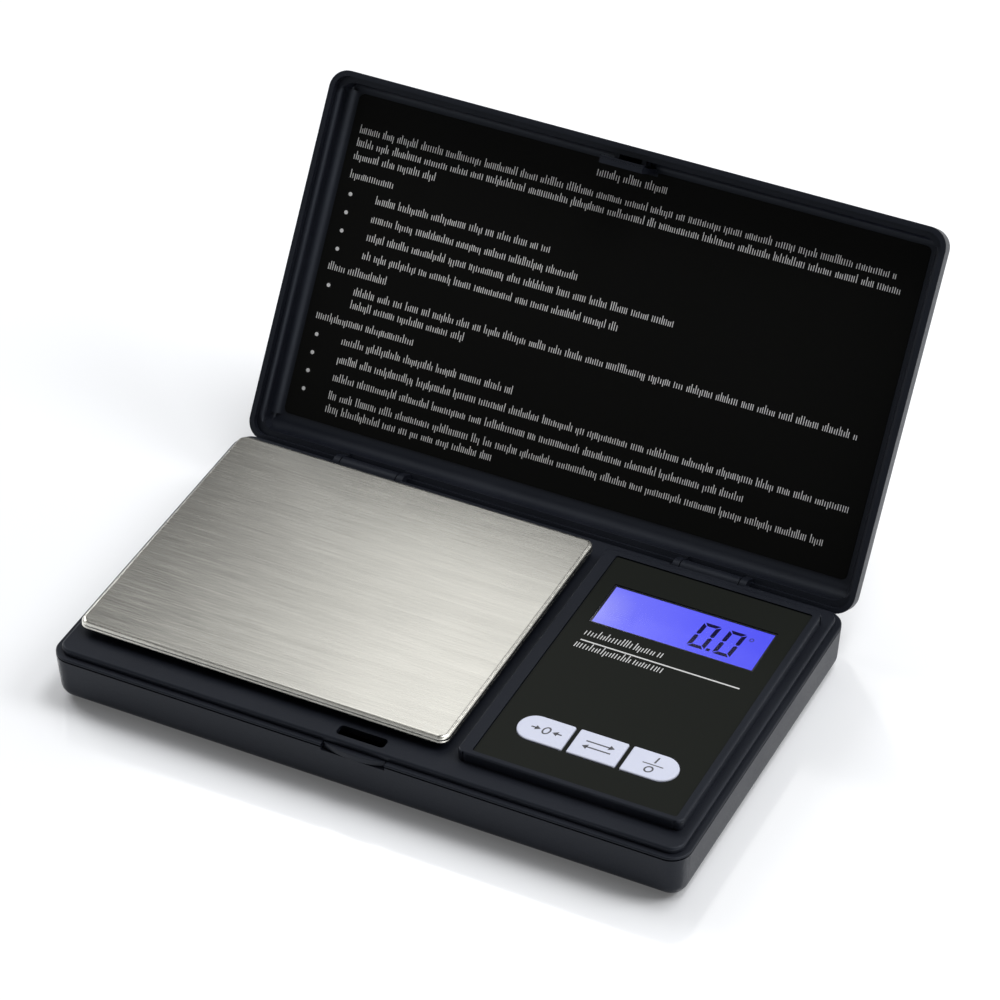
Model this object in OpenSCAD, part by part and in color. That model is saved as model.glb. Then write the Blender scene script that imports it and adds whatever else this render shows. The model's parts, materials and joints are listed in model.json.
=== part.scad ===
// Flip-lid pocket gram scale, shown open. Millimetres, +Z up.
// Origin: middle of the case footprint, on the plane of the rubber feet.
// X runs to the right, Y from the latch at the front to the hinge at the back.
// Names ending in _x, _y and _z are places, or [low, high] spans, along that axis.

/* [Case] */
// case width along X
body_w = 133; // [132.6:0.1:133.6]
// case depth along Y
body_d = 77; // [76.6:0.1:77.6]
// corner radius seen from above
corner_r = 4; // [3:0.25:5]
// radius along the lower edge of the case
foot_r = 3; // [1:0.25:3]
// how far the rubber feet stand proud of the underside
foot_proud = 0.25; // [0.15:0.05:0.3]

/* [Lid] */
// lid opening angle, 0 is shut
lid_open = 123.5; // [0:0.5:123.5]
// radius along the lid's outer top edge
lid_r = 5; // [3:0.25:5]
// lid height over its rim
lid_h = 7.55; // [7.4:0.05:8]

/* [Weighing plate] */
// height of the weighing surface
plate_z = 15.2; // [15:0.05:15.3]
// thickness of the plate's sheet
plate_t = 0.8; // [0.6:0.05:0.8]
// plate corner radius
plate_r = 2; // [1:0.25:3]

/* [Keys] */
// how far each key cap stands over the panel
key_proud = 0.25; // [0.1:0.05:0.4]
// gap round each key cap
key_gap = 0.12; // [0.08:0.01:0.18]

/* [Hidden] */
$fn = 48;

// ---- spans ----
function about(middle, half) = [middle - half, middle + half];
function run(start, length) = [start, start + length];
function grow(span, by) = [span[0] - by, span[1] + by];
function size(span) = span[1] - span[0];
function mid(span) = (span[0] + span[1]) / 2;
function corners(x_pair, y_pair) = [for (y = y_pair) for (x = x_pair) [x, y]];

// ---- shared places ----
back_y = body_d / 2;
case_x = about(0, body_w / 2);
case_y = about(0, back_y);

floor_z = foot_proud;      // underside of the case
seam_z = 10.4;             // joint between the two case halves
ledge_z = 10.95;           // ledge under the lid's rim
deck_z = 12.2;             // deck surface
frame_z = 14.5;            // top of the raised panel surround
panel_z = 14.2;            // top of the panel overlay
rim_z = ledge_z + 0.1;     // lid rim when shut
lid_top_z = rim_z + lid_h;
ceiling_z = rim_z + 5.7;   // lid ceiling when shut

plate_x = [-63.7, 15.2];
plate_y = [-31.5, 33.4];
overlay_x = [20.4, 61.8];
overlay_y = [-31.1, 31.85];
overlay_t = 0.5;
frame_x = [17.6, 63.3];
frame_y = [-32.3, 33.5];
display_x = [23.7, 57.95];
display_y = [12, 24.2];

// key row: x from, x to, rounded end (-1 left, 0 none, 1 right)
keys = [[24.6, 35.05, -1], [35.95, 45.9, 0], [46.8, 57.25, 1]];
key_y = [-23.9, -16.8];
key_end_r = size(key_y) / 2;

hinge_y = 38.55;
hinge_z = 10.05;
knuckle_r = 1.9;
knuckle_x = [31.3, 43.7];  // right-hand knuckle, mirrored to the left
latch_x = -0.9;

bay_mid_x = -0.7;          // battery bay
bay_x = about(bay_mid_x, 12.4);
bay_y = about(0, 24.6);
battery_x = about(bay_mid_x, 5.75);
battery_z = 7.3;
contact_z = [3.2, 11.4];

load_x = -23;              // load cell centre line
load_z = [3.6, 9.6];
fixed_screw_y = [-20, -13.5];
free_screw_y = [15.5, 21.5];
gauge_y = [-2.6, 4.6];

pcb_z = [5, 6.6];
pcb_top = pcb_z[1];
case_screw_xy = corners([-60.5, 60.5], [-32, 32]);
pcb_screw_xy = corners([23.4, 59.6], [-24.6, 6.8]);
foot_xy = corners([-54, 54], [-28, 28]);

// ---- colours used more than once ----
case_black = [0.13, 0.13, 0.15];
screw_steel = [0.75, 0.75, 0.77];
contact_metal = [0.85, 0.85, 0.87];
key_grey = [0.87, 0.88, 0.94];
pill_black = [0.08, 0.08, 0.08];
chip_black = [0.08, 0.08, 0.09];
cell_green = [0.2, 0.45, 0.3];

// ---- basic shapes, placed by their spans ----
module box(x, y, z) translate([x[0], y[0], z[0]]) cube([size(x), size(y), size(z)]);
module round_rect(x, y, r) {
  translate([x[0] + r, y[0]]) square([size(x) - 2 * r, size(y)]);
  translate([x[0], y[0] + r]) square([size(x), size(y) - 2 * r]);
  for (at = corners(grow(x, -r), grow(y, -r))) translate(at) circle(r);
}
module slab(x, y, z, r) translate([0, 0, z[0]]) linear_extrude(size(z)) round_rect(x, y, r);
// slab with the case outline, drawn in by inset all round
module case_slab(inset, z, r) slab(grow(case_x, -inset), grow(case_y, -inset), z, r);
module post(at, z, r) translate([at[0], at[1], z[0]]) cylinder(r = r, h = size(z));
module rod_x(x, y, z, r)
  translate([x[0], y, z]) rotate([0, 90, 0]) cylinder(r = r, h = size(x));
module rod_y(x, y, z, r)
  translate([x, y[1], z]) rotate([90, 0, 0]) cylinder(r = r, h = size(y));
module hinge_rod(x, r) rod_x(x, hinge_y, hinge_z, r);

// a section in Y and Z run along X, and one in X and Z run along Y
module along_x(x)
  translate([x[0], 0, 0]) rotate([90, 0, 90]) linear_extrude(size(x)) children();
module along_y(y)
  translate([0, y[1], 0]) rotate([90, 0, 0]) linear_extrude(size(y)) children();

// sections with rounded lower or upper corners; across is the X or Y span
module low_round(across, z, r) {
  translate([across[0] + r, z[0]]) square([size(across) - 2 * r, size(z)]);
  translate([across[0], z[0] + r]) square([size(across), size(z) - r]);
  for (a = grow(across, -r)) translate([a, z[0] + r]) circle(r);
}
module top_round(across, z, r) {
  translate([across[0] + r, z[0]]) square([size(across) - 2 * r, size(z)]);
  translate([across[0], z[0]]) square([size(across), size(z) - r]);
  for (a = grow(across, -r)) translate([a, z[1] - r]) circle(r);
}
// slab with its top edges rounded; the edge sections start that far below it
module top_rounded_slab(x, y, z, r, edge_r, below) {
  section_z = [z[0] - below, z[1]];
  intersection() {
    slab(x, y, z, r);
    along_x(x) top_round(y, section_z, edge_r);
    along_y(y) top_round(x, section_z, edge_r);
  }
}

// slotted screw; slot is [length, width], cross adds a second slot
module screw(at, head_z, head_r, shank_z, shank_r, slot, slot_z, cross = false) difference() {
  union() {
    post(at, head_z, head_r);
    post(at, shank_z, shank_r);
  }
  box(about(at[0], slot[0] / 2), about(at[1], slot[1] / 2), slot_z);
  if (cross) box(about(at[0], slot[1] / 2), about(at[1], slot[0] / 2), slot_z);
}

module both_sides() {
  children();
  mirror([1, 0, 0]) children();
}
// turns lid parts from shut to open about the hinge axis
module swing()
  translate([0, hinge_y, hinge_z]) rotate([-lid_open, 0, 0])
    translate([0, -hinge_y, -hinge_z]) children();

// ---- case ----
module low_body() {
  section_z = [floor_z, seam_z + 4];
  intersection() {
    case_slab(0, [floor_z, seam_z], corner_r);
    along_x(case_x) low_round(case_y, section_z, foot_r);
    along_y(case_y) low_round(case_x, section_z, foot_r);
  }
}

// round the hinge axis, open to the back and above
module hinge_clearance(x, gap) {
  hinge_rod(x, knuckle_r + gap);
  box(x, [hinge_y - knuckle_r - gap, back_y + 1], [hinge_z, deck_z + 1]);
}
// where the lid's ears turn, at both ends of a knuckle
module ear_pockets()
  for (x = [knuckle_x[0] - 1.75, knuckle_x[1] + 0.05]) hinge_clearance(run(x, 1.7), 0.22);

module bottom_tub() difference() {
  low_body();
  case_slab(2, [floor_z + 1.8, seam_z + 1], 2);
  // shadow groove under the upper half's flange
  difference() {
    box(grow(case_x, 1), grow(case_y, 1), [seam_z - 0.2, seam_z + 1]);
    case_slab(0.8, [seam_z - 1, seam_z + 2], corner_r - 0.8);
  }
}
module bay_walls() {
  difference() {
    box(grow(bay_x, 1.6), grow(bay_y, 1.6), [floor_z + 1, seam_z]);
    box(bay_x, bay_y, [floor_z, seam_z + 1]);
  }
  // roof over the cover's way out
  box(grow(bay_x, 2.4), [bay_y[1] + 1, back_y - 1.9], [floor_z + 1.5, floor_z + 3.2]);
  // low keels between the batteries, at each end of the bay
  for (y = [run(bay_y[0], 8), [bay_y[1] - 8, bay_y[1]]])
    box(about(bay_mid_x, 0.35), y, [3.2, 6.2]);
}
module bottom_screw_holes() {
  for (at = case_screw_xy) {
    post(at, [floor_z - 1, 3.2], 2.5);
    post(at, [floor_z, 7], 1.25);
  }
  for (y = fixed_screw_y) {
    post([load_x, y], [floor_z - 1, 2], 3);
    post([load_x, y], [floor_z, 5], 1.65);
  }
}
// opening and side grooves for the battery cover, open at the back
module cover_track() {
  y = [bay_y[0] - 0.4, back_y + 1];
  box(about(bay_mid_x, 12.3), y, [floor_z - 1, floor_z + 1.65]);
  box(about(bay_mid_x, 13.2), y, [floor_z + 0.55, floor_z + 1.65]);
  box(bay_x, bay_y, [floor_z + 1, 3]);
}
module bottom_case() color(case_black) difference() {
  union() {
    bottom_tub();
    bay_walls();
    // load cell pad
    box(about(load_x, 7), [-24.5, -10.5], [floor_z + 1, load_z[0]]);
    // screw towers
    for (at = case_screw_xy) post(at, [floor_z + 1, 5.8], 3.2);
    // overload stop under the load cell's free end
    post([load_x, 21], [floor_z + 1, load_z[0] - 0.45], 2);
    // hinge knuckles
    both_sides() hinge_rod(knuckle_x, knuckle_r);
  }
  both_sides() hinge_rod(grow(knuckle_x, 1), 1.05);
  both_sides() ear_pockets();
  bottom_screw_holes();
  // foot recesses
  for (at = foot_xy) post(at, [floor_z - 1, floor_z + 0.75], 4.1);
  // window for the latch button in the front wall
  box(about(latch_x, 6.7), run(-back_y - 1, 4), [9.55, seam_z + 1]);
  cover_track();
}

// locating rib inside the lower half
module locating_rib() difference() {
  case_slab(2.1, [seam_z - 1.4, seam_z + 0.5], 1.9);
  case_slab(3.3, [seam_z - 2, seam_z + 0.2], 1);
}
// hollow under the panel, leaving the screw posts
module panel_hollow() {
  x = grow(frame_x, -1.4);
  difference() {
    union() {
      slab(x, [8.4, frame_y[1] - 1.6], [seam_z - 1, 13.25], 1);
      slab(x, [frame_y[0] + 1.5, 7], [seam_z - 1, 12.4], 1);
    }
    for (at = pcb_screw_xy) post(at, [pcb_top, 14], 1.8);
    for (at = case_screw_xy) post(at, [5, 14], 2.6);
  }
}
// latch slot, and room for the latch button under its front edge
module latch_cuts() {
  slab(about(latch_x, 5.05), [-35.7, -33.1], [seam_z - 3, deck_z + 1], 0.8);
  box(about(latch_x, 5.4), [-35.95, -32.8], [seam_z - 2, 11.3]);
  box(about(latch_x, 6.7), [-back_y - 1, -35.1], [seam_z - 2, 11.02]);
  box(about(latch_x, 8.4), [-36.6, -34.6], [seam_z - 2, seam_z]);
}
module panel_openings(z) {
  box(display_x, display_y, z);
  for (key = keys) key_shape(key, key_gap, z);
}
module top_deck() color([0.14, 0.14, 0.16]) difference() {
  union() {
    case_slab(0, [seam_z, ledge_z], corner_r);
    case_slab(1.3, [seam_z, deck_z], corner_r - 1.3);
    locating_rib();
    // raised surround of the control panel
    slab(frame_x, frame_y, [seam_z, frame_z], 2.2);
    // hump over the battery bay
    slab(grow(bay_x, 1.3), grow(bay_y, 1.4), [seam_z, 13.7], 1.2);
    for (at = case_screw_xy) post(at, [5.85, seam_z + 1], 2.6);
    for (at = pcb_screw_xy) post(at, [pcb_top, seam_z + 2.5], 1.8);
  }
  // overlay recess
  slab(grow(overlay_x, 0.05), grow(overlay_y, 0.05), [panel_z - overlay_t, frame_z + 1], 1.2);
  panel_hollow();
  panel_openings([seam_z, frame_z + 1]);
  // battery bay under the hump
  box(bay_x, bay_y, [seam_z - 1, 12.8]);
  // way through for the plate support
  box(about(load_x, 7.5), [11, 26.2], [seam_z - 1, 14]);
  latch_cuts();
  both_sides() {
    hinge_clearance(grow(knuckle_x, 0.1), 0.15);
    ear_pockets();
  }
  for (at = case_screw_xy) post(at, [5, 11.4], 1);
  for (at = pcb_screw_xy) post(at, [6, 11.6], 0.8);
}

// ---- lid, drawn shut and then swung open ----
cavity_x = [-64, 64];
cavity_y = [-back_y + 2.2, back_y - 2.3];
cove_front_r = 1.6;
cove_back_r = 3.4;

// cavity section in Y and Z, its upper corners coved
module cove() {
  y = cavity_y;
  height = ceiling_z - rim_z;
  translate([y[0], rim_z - 2]) square([size(y), height + 2 - cove_back_r]);
  translate([y[0] + cove_front_r, rim_z])
    square([size(y) - cove_front_r - cove_back_r, height]);
  translate([y[0], rim_z]) square([10, height - cove_front_r]);
  translate([y[0] + cove_front_r, ceiling_z - cove_front_r]) circle(cove_front_r);
  translate([y[1] - cove_back_r, ceiling_z - cove_back_r]) circle(cove_back_r);
}
module lid_shell() difference() {
  top_rounded_slab(case_x, case_y, [rim_z, lid_top_z], corner_r, lid_r, below = 1);
  // rebate that drops over the deck's edge
  case_slab(1.1, [rim_z - 1, deck_z + 0.2], corner_r - 1.1);
  // coved cavity
  intersection() {
    slab(cavity_x, cavity_y, [rim_z - 1, ceiling_z], 2.4);
    along_x([-65, 65]) cove();
    along_y(case_y) top_round(cavity_x, [rim_z - 2, ceiling_z], 1.2);
  }
  // clearance over the hinge knuckles
  both_sides() {
    hinge_rod(grow(knuckle_x, 0.1), knuckle_r + 0.25);
    box(grow(knuckle_x, 0.1), [back_y - 3, back_y + 1], [rim_z - 1, rim_z + 2.3]);
  }
}
module latch_hook() {
  x = about(latch_x, 4.6);
  box(x, [-35, -33.9], [8.7, ceiling_z + 0.5]);
  box(x, [-35.45, -34.9], [8.9, 9.9]);
  // ribs at the hook's root
  for (rib = [-3.4, 2.4])
    box(run(latch_x + rib, 1), [-36.5, -34.9], [13.4, ceiling_z + 0.5]);
}
// ears with moulded trunnions and a stop lobe
module lid_ears() {
  ear_t = 1.4;
  // ear start, then trunnion ends measured from it
  ears = [[knuckle_x[0] - 1.6, 1.3, 5.2], [knuckle_x[1] + 0.2, -3.8, 0.1]];
  for (ear = ears) {
    x = run(ear[0], ear_t);
    hinge_rod(x, knuckle_r);
    box(x, [hinge_y - knuckle_r, back_y], [hinge_z, rim_z + 1.6]);
    translate([ear[0], hinge_y, hinge_z]) rotate([34, 0, 0])
      box([0, ear_t], [0, 2.9], [0, 1.1]);
    hinge_rod([ear[0] + ear[1], ear[0] + ear[2]], 1.0);
  }
}
module lid() color(case_black) swing() {
  lid_shell();
  latch_hook();
  both_sides() lid_ears();
}
// label on the lid ceiling, notched round the latch hook
module lid_label() color([0.05, 0.05, 0.05]) swing() difference() {
  slab([-61.9, 62.2], [-34.4, 32.4], [ceiling_z - 0.12, ceiling_z], 1.2);
  box(about(latch_x, 5.2), [-36, -33.6], about(ceiling_z, 1));
}

// bowed push button, flange behind the front wall;
// pressed in, it bends the hook off the slot's edge
module latch_button() color(case_black) {
  bow_r = 21.7;
  bow_proud = 0.1;
  intersection() {
    box(about(latch_x, 6.5), [-back_y - 1, -36], [9.65, 10.92]);
    post([latch_x, -back_y + bow_r - bow_proud], [9, 11.5], bow_r);
  }
  box(about(latch_x, 8), [-36.45, -35.65], [8, 10.2]);
}

// ---- weighing side ----
support_z = [13, 14.1];
tape_z = [support_z[1], plate_z - plate_t];
load_half_w = 6;

// shallow tray, open underneath
module weighing_plate() color([0.75, 0.75, 0.72]) difference() {
  top_rounded_slab(plate_x, plate_y, [plate_z - 1.6, plate_z], plate_r, 0.6, below = 1.4);
  slab(grow(plate_x, -plate_t), grow(plate_y, -plate_t), [plate_z - 3, plate_z - plate_t],
    plate_r - plate_t);
}
module platform_support() color([0.2, 0.2, 0.22]) difference() {
  union() {
    slab([-60, -16.4], [-29, 31], support_z, 1.5);
    // arms reaching right, at the back and at the front
    for (y = [[27.2, 31], [-28.9, -26.9]]) box([-17, 12.5], y, support_z);
    // foot on the load cell
    box(about(load_x, load_half_w), [12.5, 24.5], [load_z[1], 13.5]);
    // ribs underneath
    for (x = [-56, -38]) box(run(x, 1), [-26, 29], [12.6, 13.2]);
  }
  for (y = free_screw_y) {
    post([load_x, y], [load_z[1] - 1, 15], 1.65);
    post([load_x, y], [12, 15], 2.9);
  }
  // long slots
  for (x = [-50, -44, -32]) slab(about(x, 1.6), [-22, 24], [12, 15], 1.5);
}
module plate_tape() color([0.85, 0.85, 0.8]) {
  box([-59, -53], [-27, 30], tape_z);
  box([-29.5, -17], [-27, 10], tape_z);
  box([-16, 11.5], [27.6, 30.6], tape_z);
}
module platform_screws() color(screw_steel) for (y = free_screw_y)
  screw([load_x, y], head_z = [12, 13.6], head_r = 2.7, shank_z = [5, 12.5],
    shank_r = 1.45, slot = [3.6, 0.7], slot_z = [13, 15]);
module cell_screws() color(screw_steel) for (y = fixed_screw_y)
  screw([load_x, y], head_z = [0.5, 2], head_r = 2.7, shank_z = [1.5, 8.4],
    shank_r = 1.45, slot = [3.6, 0.7], slot_z = [-0.4, 1]);

// bar with two cross holes joined by a slit
module load_cell() color([0.8, 0.81, 0.83]) difference() {
  cut_x = about(load_x, load_half_w + 1);
  box(about(load_x, load_half_w), [-22.5, 24.5], load_z);
  for (y = gauge_y) rod_x(cut_x, y, 6.6, 2.3);
  box(cut_x, gauge_y, [5.9, 7.3]);
  for (y = concat(fixed_screw_y, free_screw_y)) post([load_x, y], grow(load_z, 1), 1.5);
}
// on the top and underside of the load cell
module strain_gauges() color([0.93, 0.93, 0.9])
  for (y = gauge_y) for (z = [run(load_z[1], 0.25), [load_z[0] - 0.25, load_z[0]]])
    box(about(load_x, 3), about(y, 2), z);

// four wires: forward off the load cell, right, then back and down to the board
module cell_cable() color([0.75, 0.1, 0.1]) {
  pitch = 1.1;
  half = 0.5;
  wire_z = run(load_z[1], 0.7);
  for (i = [0 : 3]) {
    start_x = load_x - 1.65 + i * pitch;
    end_x = 23 - i * pitch;
    y = -30.3 + i * pitch;
    box(about(start_x, half), [y - half, -4.7], wire_z);
    box([start_x - half, end_x + half], about(y, half), wire_z);
    box(about(end_x, half), [y - half, -26.8], wire_z);
    box(about(end_x, half), [-27.35, -26.8], [6.62, wire_z[1]]);
  }
}

// ---- keys ----
// key outline grown by gap; key is a row of the keys table
module key_shape(key, gap, z) {
  side = key[2];
  r = key_end_r;
  translate([0, 0, z[0]]) linear_extrude(size(z)) {
    translate([key[0] - gap + (side < 0 ? r : 0), key_y[0] - gap])
      square([key[1] - key[0] + 2 * gap - (side == 0 ? 0 : r), size(key_y) + 2 * gap]);
    if (side < 0) translate([key[0] + r, mid(key_y)]) circle(r + gap);
    if (side > 0) translate([key[1] - r, mid(key_y)]) circle(r + gap);
  }
}
// cap, flange under the deck and stem
module key_body(key) {
  side = key[2];
  flange = [key[0] + (side < 0 ? 0 : 0.1), key[1] - (side > 0 ? 0 : 0.1), side];
  key_shape(key, 0, [11.4, panel_z + key_proud]);
  key_shape(flange, 0.35, [11.2, 12.38]);
  slab(about(mid(key), 2.6), grow(key_y, -0.9), [7.9, 11.2], 1.2);
}
module contact_pill(key) post([mid(key), mid(key_y)], [7.3, 7.9], 1.6);
module tare_key() color(key_grey) key_body(keys[0]);
module mode_key() color(key_grey) key_body(keys[1]);
module power_key() color(key_grey) key_body(keys[2]);
module tare_contact() color(pill_black) contact_pill(keys[0]);
module mode_contact() color(pill_black) contact_pill(keys[1]);
module power_contact() color(pill_black) contact_pill(keys[2]);
module keypad_mat() color([0.72, 0.73, 0.78]) difference() {
  slab([25.4, 57.6], [-25.3, -15.4], [pcb_top, 8.4], 1.2);
  for (key = keys) slab(about(mid(key), 3), grow(key_y, -0.5), [6, 9], 1.4);
}

// ---- display and board ----
module control_overlay() color([0.13, 0.14, 0.13]) difference() {
  slab(overlay_x, overlay_y, [panel_z - overlay_t, panel_z], 1.15);
  panel_openings([13, 15]);
}
module display_window() color([0.6, 0.65, 0.95, 0.35])
  box(display_x, display_y, [panel_z - 0.6, panel_z - 0.05]);
// two panes, the lower one longer at the front
module lcd_glass() color([0.55, 0.57, 0.95]) {
  box([22.6, 59.7], [9.3, 26.6], [11, 12.1]);
  box([22.6, 59.7], [10.9, 26.6], [12.1, 13.2]);
}
module backlight_guide() color([0.8, 0.84, 1]) box([24, 57.8], [12.2, 25.4], [7.6, 10.95]);
module backlight_leds() color([0.95, 0.95, 0.85])
  for (y = [15, 21]) box([58, 59.4], run(y, 2.4), [pcb_top, 8.6]);
module lcd_holder() color([0.9, 0.9, 0.88]) difference() {
  box([22, 60.3], [11.4, 27.2], [pcb_top, 10.98]);
  box([23.8, 59.6], [12.1, 25.5], [6, 12]);
}
module zebra_strip() color([0.85, 0.5, 0.6]) box([23.2, 59.1], [9.4, 10.9], [pcb_top, 11]);
module main_pcb() color([0.1, 0.35, 0.18]) difference() {
  box([20, 62], [-27.4, 27.4], pcb_z);
  for (at = pcb_screw_xy) post(at, [4, 8], 1.1);
}

chip_z = [6.7, 8.1];
pin_z = [pcb_top, 6.95];
// pins along the front and back edges
module processor_chip() color(chip_black) {
  box([35, 45], [-8.5, 1.5], chip_z);
  for (i = [0 : 7]) for (y = [-9.4, 1.4]) box(run(35.5 + i * 1.2, 0.5), run(y, 1), pin_z);
}
// pins along the left and right edges
module converter_chip() color(chip_black) {
  box([26, 30], [-9.5, -3.5], chip_z);
  for (i = [0 : 3]) for (x = [25.1, 29.9]) box(run(x, 1), run(-9 + i * 1.4, 0.5), pin_z);
}
module small_parts() color([0.7, 0.6, 0.45]) {
  post([50, -4], [pcb_top, 10.2], 2.6);
  for (i = [0 : 3]) box(run(52.8 + i * 2, 1.2), [0, 2], [pcb_top, 7.3]);
  box([31.4, 33.2], [-2, 2.6], [pcb_top, 8]);
}
module pcb_screws() color(screw_steel) for (at = pcb_screw_xy)
  screw(at, head_z = [3.8, 5], head_r = 1.7, shank_z = [4.5, 10.6], shank_r = 0.78,
    slot = [2.4, 0.5], slot_z = [3, 4.2]);

// ---- power ----
module battery(x, body_y, nub_y) {
  rod_y(x, body_y, battery_z, 5.25);
  rod_y(x, nub_y, battery_z, 1.9);
}
// the left battery's nub points back, the right one's forward
module battery_left() color(cell_green) battery(battery_x[0], [-22.4, 21.3], [21.2, 22.1]);
module battery_right() color(cell_green) battery(battery_x[1], [-21.6, 22.1], [-22.4, -21.5]);

// end is -1 at the front of the bay, 1 at the back
module contact_tab(x, end) box(about(x, 4), about(end * (bay_y[1] - 0.15), 0.15), contact_z);
// tab with three rings narrowing away from it
module spring_contact(x, end) {
  contact_tab(x, end);
  translate([x, end * (bay_y[1] - 0.55), battery_z]) rotate([end * 90, 0, 0])
    for (i = [0 : 2]) translate([0, 0, i * 0.55])
      rotate_extrude() translate([3.1 - i * 0.5, 0]) circle(0.3, $fn = 16);
}
module plate_contact(x, end, button_y) {
  contact_tab(x, end);
  rod_y(x, button_y, battery_z, 2.4);
}
module spring_contacts() color(contact_metal) {
  spring_contact(battery_x[0], -1);
  spring_contact(battery_x[1], 1);
}
module plate_contacts() color(contact_metal) {
  plate_contact(battery_x[0], 1, [22.15, bay_y[1] - 0.2]);
  plate_contact(battery_x[1], -1, [bay_y[0] + 0.2, -22.45]);
}
// two in front of the bay, one behind it
module battery_leads() color([0.8, 0.1, 0.1]) {
  x = [bay_mid_x + 8, 20.8];
  box(x, [bay_y[0] - 2.9, bay_y[0] - 1.8], [3.4, 4.5]);
  box([19, 20.8], [bay_y[0] - 1.9, bay_y[0] - 0.6], [3.4, 4.5]);
  box(x, [bay_y[1] + 1.8, bay_y[1] + 2.9], [4, 4.95]);
}
// sliding cover with side tongues, trimmed to the case outline
module battery_cover() color(case_black) intersection() {
  y = [bay_y[0] - 0.2, back_y + 1];
  low_body();
  difference() {
    union() {
      box(about(bay_mid_x, 12.15), y, [floor_z, floor_z + 1.5]);
      box(about(bay_mid_x, 13.05), y, [floor_z + 0.7, floor_z + 1.4]);
    }
    // finger grooves
    for (i = [0 : 4])
      box(about(bay_mid_x, 6), run(-20 + i * 1.6, 0.8), [floor_z - 1, floor_z + 0.4]);
  }
}

// ---- underside ----
module case_screws() color(screw_steel) for (at = case_screw_xy)
  screw(at, head_z = [1.8, 3.2], head_r = 2.2, shank_z = [2.5, 10.6], shank_r = 0.95,
    slot = [3, 0.6], slot_z = [1, 2.4], cross = true);
module rubber_feet() color([0.1, 0.1, 0.1])
  for (at = foot_xy) post(at, [0, floor_z + 0.75], 4);

bottom_case();
top_deck();
lid();
lid_label();
latch_button();
weighing_plate();
platform_support();
plate_tape();
platform_screws();
load_cell();
cell_screws();
strain_gauges();
cell_cable();
tare_key();
mode_key();
power_key();
tare_contact();
mode_contact();
power_contact();
keypad_mat();
control_overlay();
display_window();
lcd_glass();
backlight_guide();
backlight_leds();
lcd_holder();
zebra_strip();
main_pcb();
processor_chip();
converter_chip();
small_parts();
pcb_screws();
battery_left();
battery_right();
spring_contacts();
plate_contacts();
battery_leads();
battery_cover();
case_screws();
rubber_feet();
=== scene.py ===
"""Pocket scale with a hinged lid, standing open on a pale floor.

X runs to the right, Y from the front to the hinge at the back, Z up from the floor.
The weighing plate is on the left, the display and keys on the right.
Sizes are in millimetres, in the frame of the CAD, and turn into metres as meshes are made.
"""
import json
import math
import random

import bmesh
import bpy
from mathutils import Matrix, Vector


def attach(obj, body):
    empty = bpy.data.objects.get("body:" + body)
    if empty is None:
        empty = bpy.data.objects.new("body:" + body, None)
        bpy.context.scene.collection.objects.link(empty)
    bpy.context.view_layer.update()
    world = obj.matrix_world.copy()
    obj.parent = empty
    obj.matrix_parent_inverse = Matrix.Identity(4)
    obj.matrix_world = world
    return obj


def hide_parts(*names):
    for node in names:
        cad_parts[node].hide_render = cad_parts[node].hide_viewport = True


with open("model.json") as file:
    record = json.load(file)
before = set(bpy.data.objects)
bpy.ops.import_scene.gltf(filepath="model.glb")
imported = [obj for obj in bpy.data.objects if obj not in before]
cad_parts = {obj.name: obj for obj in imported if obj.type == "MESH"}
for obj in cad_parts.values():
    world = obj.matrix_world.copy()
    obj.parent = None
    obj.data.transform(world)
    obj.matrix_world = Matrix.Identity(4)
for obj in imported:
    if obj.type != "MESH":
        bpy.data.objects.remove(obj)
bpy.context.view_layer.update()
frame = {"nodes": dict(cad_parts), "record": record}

MM = 0.001
nodes = frame["nodes"]

# ---------------------------------------------------------------- driving sizes
# rectangles are (left, right, front, back)
HALF_WIDTH, HALF_DEPTH, CORNER = 66.5, 38.5, 4.0
BODY = (-HALF_WIDTH, HALF_WIDTH, -HALF_DEPTH, HALF_DEPTH)
FLOOR_Z, SEAM_Z, LEDGE_Z, DECK_Z = 0.25, 10.4, 10.95, 12.2
FRAME_Z, PANEL_Z, PLATE_Z = 14.5, 14.2, 15.2
PLATE = (-63.7, 15.2, -31.5, 33.4)
PANEL = (20.4, 61.8, -31.1, 31.85)
WINDOW = (23.7, 57.95, 12.0, 24.2)
LCD_Z = 13.9

KEY_FRONT, KEY_BACK = -23.9, -16.8
KEY_MID_Y = (KEY_FRONT + KEY_BACK) / 2
KEY_END_RADIUS, KEY_CORNER, KEY_GAP = 3.55, 0.42, 0.12
KEY_TOP = PANEL_Z + 0.25
# name, left, right, end with the large radius (-1 left, 1 right, 0 neither), centre of the mark
KEYS = [("tare", 24.6, 35.05, -1, 30.4), ("mode", 35.95, 45.9, 0, 41.0),
        ("power", 46.8, 57.25, 1, 52.1)]

BAY_X, BAY_HALF_WIDTH, BAY_HALF_LENGTH = -0.7, 12.4, 24.6
BATTERY_LEFT, BATTERY_RIGHT, BATTERY_Z = BAY_X - 5.75, BAY_X + 5.75, 7.3
CELL_X = -23.0
BOARD_Z = 6.6

RIM_Z, LID_TOP, LID_CEILING, LID_WALL_X = 11.05, 18.6, 16.75, -64.0
HINGE_Y, HINGE_Z = 38.55, 10.05
KNUCKLE_NEAR, KNUCKLE_FAR = 31.3, 43.7
LID_OPEN_DEGREES = 123.5
SWING = (Matrix.Translation((0, HINGE_Y * MM, HINGE_Z * MM))
         @ Matrix.Rotation(math.radians(-LID_OPEN_DEGREES), 4, "X")
         @ Matrix.Translation((0, -HINGE_Y * MM, -HINGE_Z * MM)))
PRINT_THICKNESS = 0.012


# ---------------------------------------------------------------- solids
# A solid is a list of rings, each a list of points. Neighbouring rings are joined by faces
# and the ends are capped, unless the last ring equals the first.
def grown(rect, by):
    x0, x1, y0, y1 = rect
    return (x0 - by, x1 + by, y0 - by, y1 + by)


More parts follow.
